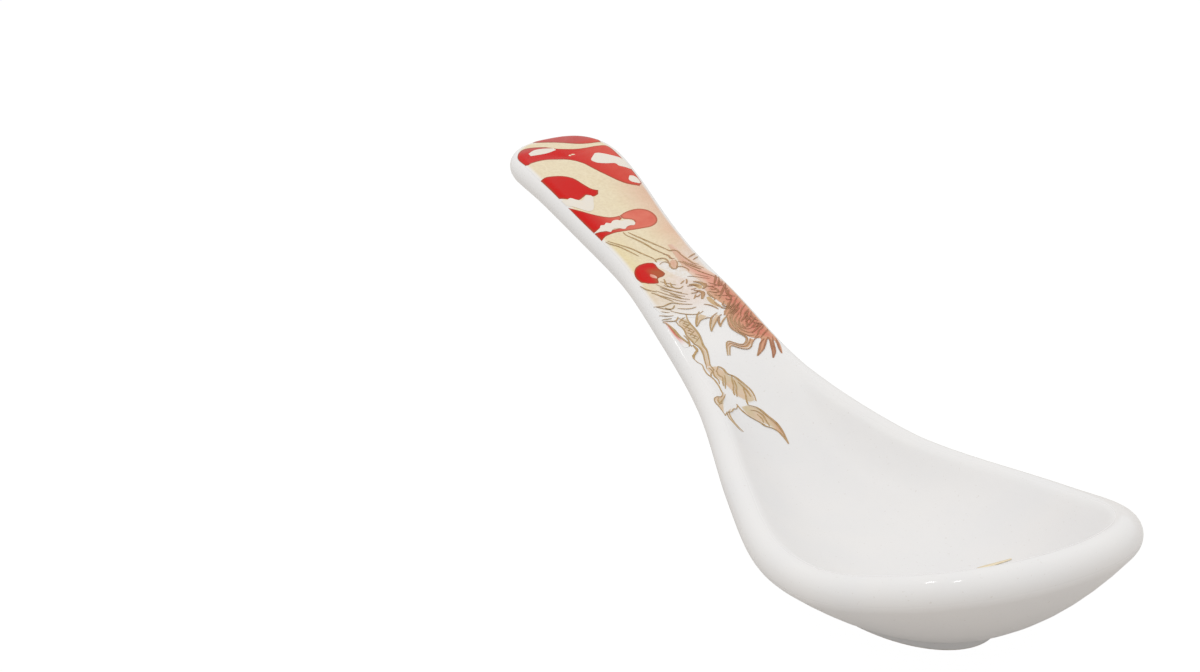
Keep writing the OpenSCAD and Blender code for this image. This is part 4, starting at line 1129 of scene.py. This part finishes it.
def cream_finish():
    """Cream that turns tan to the far edge, yellow to the near one and pale behind the face."""
    f = Finish("cream_print")
    c = f.colours
    base = f.mix(f.zone(x=(14, 24), y=(0.5, 6)), c.cream, c.tan)
    base = f.mix(f.zone(x=(20, 26), y=(4.5, 8.5), strength=0.6), base, (0.62, 0.31, 0.20))
    base = f.mix(f.noise(4.0, 3.0, high=0.35), base, (0.80, 0.73, 0.58))
    base = f.mix(f.zone(x=(31, 37), y=(-1, -5), strength=0.7), base, (0.78, 0.67, 0.37))
    slant = f.maths("ADD", f.x, f.maths("MULTIPLY", f.y, 0.7))
    rosy = f.mix(f.zone(y=(-4.5, 0)), c.face, (0.78, 0.68, 0.64))
    base = f.mix(f.maths("MULTIPLY", f.step(slant, 39.5, 46.5), 0.95), base, rosy)
    base = f.mix(f.zone(x=(37, 41), y=(3.5, 7), strength=0.5), base, (0.50, 0.28, 0.16))
    base = f.mix(f.zone(x=(41.5, 42.5), y=(4, 5.5)), base, c.porcelain)
    ridge = f.maths("MULTIPLY", f.maths("SUBTRACT", f.x, 42.0), 0.55)
    snout = f.step(f.maths("ABSOLUTE", f.maths("SUBTRACT", f.y, ridge)), 1.3, 0.6)
    snout = f.maths("MULTIPLY", f.maths("MULTIPLY", snout, f.zone(x=(40, 41))), f.zone(x=(47.5, 45)))
    base = f.mix(snout, base, (0.79, 0.77, 0.75))
    base = f.mix(f.noise(0.45, low=-0.1, high=0.4), base, (0.60, 0.47, 0.31))
    base = f.mix(f.zone(x=(49, 54)), base, c.porcelain)
    return printed(f, faded(f, base))


def pink_finish():
    """Salmon that is palest behind the horns and strongest at the ends of the mane."""
    f = Finish("pink_print")
    c = f.colours
    sizes = bpy.context.scene.spoon_print
    base = f.mix(f.zone(x=(46, 54), y=(2.5, 5.5)), c.pink, (0.60, 0.16, 0.10))
    base = f.mix(f.zone(x=(49, 42), y=(2, 3.5), strength=0.5), base, (0.72, 0.50, 0.40))
    base = f.mix(f.noise(0.6, 3.0, stretch=(0.4, 1.0, 1.0), high=0.3), base, (0.70, 0.44, 0.32))
    base = f.mix(f.zone(x=(48, 51), y=(5, 3), strength=0.5), base, (0.52, 0.31, 0.15))
    near = f.zone(y=(-2, -3.5))
    base = f.mix(near, base, (0.68, 0.17, 0.11))
    edge = f.maths("MULTIPLY", depth_share(f, sizes.mane_fade / MM), f.maths("SUBTRACT", 1.0, near))
    base = f.mix(edge, base, f.mix(f.zone(x=(46, 52)), (0.74, 0.56, 0.45), (0.62, 0.33, 0.20)))
    base = f.mix(f.zone(x=(43.5, 42.5), y=(3.6, 2.6), strength=0.5), base, (0.60, 0.32, 0.18))
    thin = f.maths("MAXIMUM", f.zone(x=(56, 58.8)), depth_share(f, sizes.touch_fade / MM))
    thin = f.maths("MULTIPLY", f.maths("MULTIPLY", thin, near), f.zone(x=(48, 50)))
    return printed(f, f.mix(thin, base, c.porcelain))


def line_finish():
    """Gold brown lines that turn redder on the horns' roots and in the mane."""
    f = Finish("gold_print")
    base = f.mix(f.zone(x=(37, 40), y=(-1, 1.5), strength=0.7), f.colours.gold, (0.42, 0.16, 0.08))
    base = f.mix(f.noise(1.5, high=0.5), base, (0.36, 0.27, 0.10))
    base = f.mix(f.noise(0.6, 3.0, high=0.6), base, (0.60, 0.44, 0.28))
    base = f.mix(f.zone(x=(44, 48), y=(2.4, 4.6), strength=0.75), base, (0.36, 0.12, 0.06))
    return printed(f, base)


def wash_finish():
    """Tan with a breath of green and rose, which fades out at the edge of each patch."""
    f = Finish("wash_print")
    base = f.mix(f.noise(1.4), f.colours.wash, (0.68, 0.55, 0.42))
    base = f.mix(f.noise(1.9, low=-0.3, high=0.6), base, (0.54, 0.49, 0.30))
    base = f.mix(f.zone(x=(54, 52.5), y=(0.4, 1)), base, (0.56, 0.38, 0.20))
    base = f.mix(f.zone(x=(57, 58.5), y=(-0.8, 0.4), strength=0.8), base, (0.60, 0.33, 0.17))
    return printed(f, faded(f, base, 0.28))


def plain_print_finish(name, tint, shade):
    """One colour with soft clouds of another."""
    f = Finish(name)
    return printed(f, f.mix(f.noise(0.8, 3.0, high=0.5), tint, shade))


def pearl_finish():
    """Red with soft darker clouds and a dark outline."""
    f = Finish("pearl_print")
    base = f.mix(f.noise(0.8, 3.0, high=0.5), f.colours.red, (0.50, 0.03, 0.02))
    return printed(f, dark_edge(f, base), 0.04)


def floor_finish():
    """White to the camera with a little of the shadow, and duller in reflections."""
    material = bpy.data.materials.new("stage_white")
    material.use_nodes = True
    nodes = Nodes(material.node_tree)
    rays = nodes.node("ShaderNodeLightPath", {})
    share = 0.0
    for ray, value in (("Is Camera Ray", 0.94), ("Is Glossy Ray", 0.25), ("Is Transmission Ray", 0.25)):
        share = nodes.maths("MAXIMUM", share, nodes.maths("MULTIPLY", rays[ray], value))
    paper = nodes.node("ShaderNodeBsdfDiffuse", {"Color": (0.60, 0.57, 0.54, 1)})[0]
    glow = nodes.node("ShaderNodeEmission", {"Color": (1, 1, 1, 1), "Strength": 1.05})[0]
    both = nodes.node("ShaderNodeMixShader", {"Fac": share, 1: paper, 2: glow})[0]
    nodes.node("ShaderNodeOutputMaterial", {"Surface": both})
    return material


# Operators


def settle(piece, slot, node):
    """Gives a piece its body and hides the node that it takes the place of; the slot is not used."""
    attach(piece, ROOT)
    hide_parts(node)


class SPOON_OT_stage(Operator):
    """Add the camera, the lamps and the floor"""

    bl_idname = "spoon.stage"
    bl_label = "Stage"

    # The camera's place in millimetres and the directions of its right, down and forward
    PLACE = (179.0, -108.1, 110.2)
    RIGHT = (0.4094, 0.9077, -0.0922)
    DOWN = (0.2758, -0.2195, -0.9358)
    FORWARD = (-0.8697, 0.3577, -0.3402)
    # Places of the two lamps that light the lip, and what they point at, in millimetres
    LAMPS = {"lip_lamp_left": (-215, -150, 430), "lip_lamp_right": (-64, -170, 480)}
    TARGET = (30, -12, 17)

    def execute(self, context):
        s = context.scene.spoon_stage
        context.scene.view_settings.view_transform = "Standard"
        self.add_camera(context, s)
        for name, place in self.LAMPS.items():
            self.add_lamp(context, s, name, Vector(place))
        self.add_world(context, s)
        side = s.floor_size / 2
        floor = mesh_object(
            "stage_floor",
            [(-side, -side, 0), (side, -side, 0), (side, side, 0), (-side, side, 0)],
            [(0, 1, 2, 3)],
            floor_finish(),
        )
        return {"FINISHED"}

    def add_camera(self, context, s):
        data = bpy.data.cameras.new("camera")
        data.lens, data.sensor_width = s.lens, s.sensor
        data.clip_start, data.clip_end = 0.01, 20.0
        camera = bpy.data.objects.new("camera", data)
        x, y, z = Vector(self.RIGHT), -Vector(self.DOWN), -Vector(self.FORWARD)
        place = Matrix((x, y, z)).transposed().to_4x4()
        place.translation = Vector(self.PLACE) * MM
        camera.matrix_world = place
        context.scene.collection.objects.link(camera)
        context.scene.camera = camera

    def add_lamp(self, context, s, name, place):
        data = bpy.data.lights.new(name, "AREA")
        data.shape = "SQUARE"
        data.size, data.energy = s.lamp_side, s.lamp_power
        lamp = bpy.data.objects.new(name, data)
        lamp.location = place * MM
        lamp.rotation_euler = (Vector(self.TARGET) - place).to_track_quat("-Z", "Y").to_euler()
        context.scene.collection.objects.link(lamp)

    def add_world(self, context, s):
        """White to the camera, and an even light that is strongest from above."""
        world = bpy.data.worlds.new("stage_sky")
        world.use_nodes = True
        nodes = Nodes(world.node_tree)
        way = nodes.node("ShaderNodeTexCoord", {})["Generated"]
        rise = nodes.node("ShaderNodeSeparateXYZ", {"Vector": way})["Z"]
        spread = {"Value": rise, "To Min": s.sky_side, "To Max": s.sky_top}
        power = nodes.node("ShaderNodeMapRange", spread, interpolation_type="SMOOTHSTEP")["Result"]
        light = nodes.node("ShaderNodeBackground", {"Color": (1.0, 0.99, 0.98, 1), "Strength": power})[0]
        white = nodes.node("ShaderNodeBackground", {"Color": (1, 1, 1, 1), "Strength": 1.0})[0]
        seen = nodes.node("ShaderNodeLightPath", {})["Is Camera Ray"]
        both = nodes.node("ShaderNodeMixShader", {"Fac": seen, 1: light, 2: white})[0]
        nodes.node("ShaderNodeOutputWorld", {"Surface": both})
        context.scene.world = world


class SPOON_OT_body(Operator):
    """Make the glazed bowl, handle and lip, and the foot"""

    bl_idname = "spoon.body"
    bl_label = "Porcelain"

    def execute(self, context):
        shape = Shape()
        glaze = glaze_finish()
        points, faces, lip = body_mesh(shape)
        body = mesh_object("porcelain", points, faces, glaze)
        mark(body, "lip", lip)
        foot = mesh_object("foot_ring", *foot_mesh(shape), glaze)
        sharpen(foot, FOOT_SHARP)
        for piece in (body, foot):
            settle(piece, "glazed_porcelain", "spoon_body")
        return {"FINISHED"}


class SPOON_OT_handle_print(Operator):
    """Print the ground, the reds, the mane, the clouds and the washes on the handle"""

    bl_idname = "spoon.handle_print"
    bl_label = "Handle print"

    def execute(self, context):
        printer = Printer(Shape())
        c = context.scene.spoon_colours
        cloud = plain_print_finish("cloud_print", c.cloud, (0.80, 0.72, 0.58))
        for name, table, material, slot in (
            ("cream_film", HANDLE_CREAM_SHARES, cream_finish(), "cream_print"),
            ("red_film", HANDLE_RED_SHARES, red_finish(), "red_print"),
            ("pink_film", HANDLE_PINK_SHARES, pink_finish(), "pink_print"),
            ("cloud_film", HANDLE_CLOUD_SHARES, cloud, "cloud_print"),
            ("wash_film", HANDLE_WASH_SHARES, wash_finish(), "gold_print"),
        ):
            piece = printer.films(name, table, printer.handle_place, material)
            settle(piece, slot, "handle_" + slot)
        return {"FINISHED"}


class SPOON_OT_gold_lines(Operator):
    """Draw the gold lines on the handle and in the bowl"""

    bl_idname = "spoon.gold_lines"
    bl_label = "Gold lines"

    def execute(self, context):
        printer = Printer(Shape())
        c = context.scene.spoon_colours
        table = HANDLE_LINE_SHARES + strands(HANDLE_STRAND_SHARES)
        piece = printer.lines("handle_lines", table, printer.handle_place, line_finish())
        settle(piece, "gold_print", "handle_gold_print")
        gold = plain_print_finish("bowl_gold_print", c.bowl_gold, (0.80, 0.65, 0.44))
        piece = printer.lines("bowl_lines", BOWL_LINE_SHARES, printer.bowl_place, gold)
        settle(piece, "gold_print", "bowl_gold_print")
        return {"FINISHED"}


class SPOON_OT_pearl(Operator):
    """Print the red pearl in the bowl"""

    bl_idname = "spoon.pearl"
    bl_label = "Pearl"

    def execute(self, context):
        printer = Printer(Shape())
        piece = printer.films("pearl", BOWL_RED_SHARES, printer.bowl_place, pearl_finish())
        settle(piece, "red_print", "bowl_red_print")
        return {"FINISHED"}


STEPS = (SPOON_OT_stage, SPOON_OT_body, SPOON_OT_handle_print, SPOON_OT_gold_lines, SPOON_OT_pearl)


class SPOON_PT_panel(Panel):
    bl_idname = "SPOON_PT_panel"
    bl_label = "Soup Spoon"
    bl_space_type = "VIEW_3D"
    bl_region_type = "UI"
    bl_category = "Soup Spoon"

    def draw(self, context):
        for group, kind in GROUPS.items():
            box = self.layout.box()
            box.label(text=kind.__doc__)
            for name in kind.__annotations__:
                box.prop(getattr(context.scene, group), name)
        for step in STEPS:
            self.layout.operator(step.bl_idname)


CLASSES = (*GROUPS.values(), *STEPS, SPOON_PT_panel)


def register():
    for cls in CLASSES:
        bpy.utils.register_class(cls)
    for group, kind in GROUPS.items():
        setattr(bpy.types.Scene, group, PointerProperty(type=kind))


def unregister():
    for group in GROUPS:
        delattr(bpy.types.Scene, group)
    for cls in reversed(CLASSES):
        bpy.utils.unregister_class(cls)


def main():
    register()
    bpy.ops.spoon.stage()
    bpy.ops.spoon.body()
    bpy.ops.spoon.handle_print()
    bpy.ops.spoon.gold_lines()
    bpy.ops.spoon.pearl()


if __name__ == "__main__":
    main()
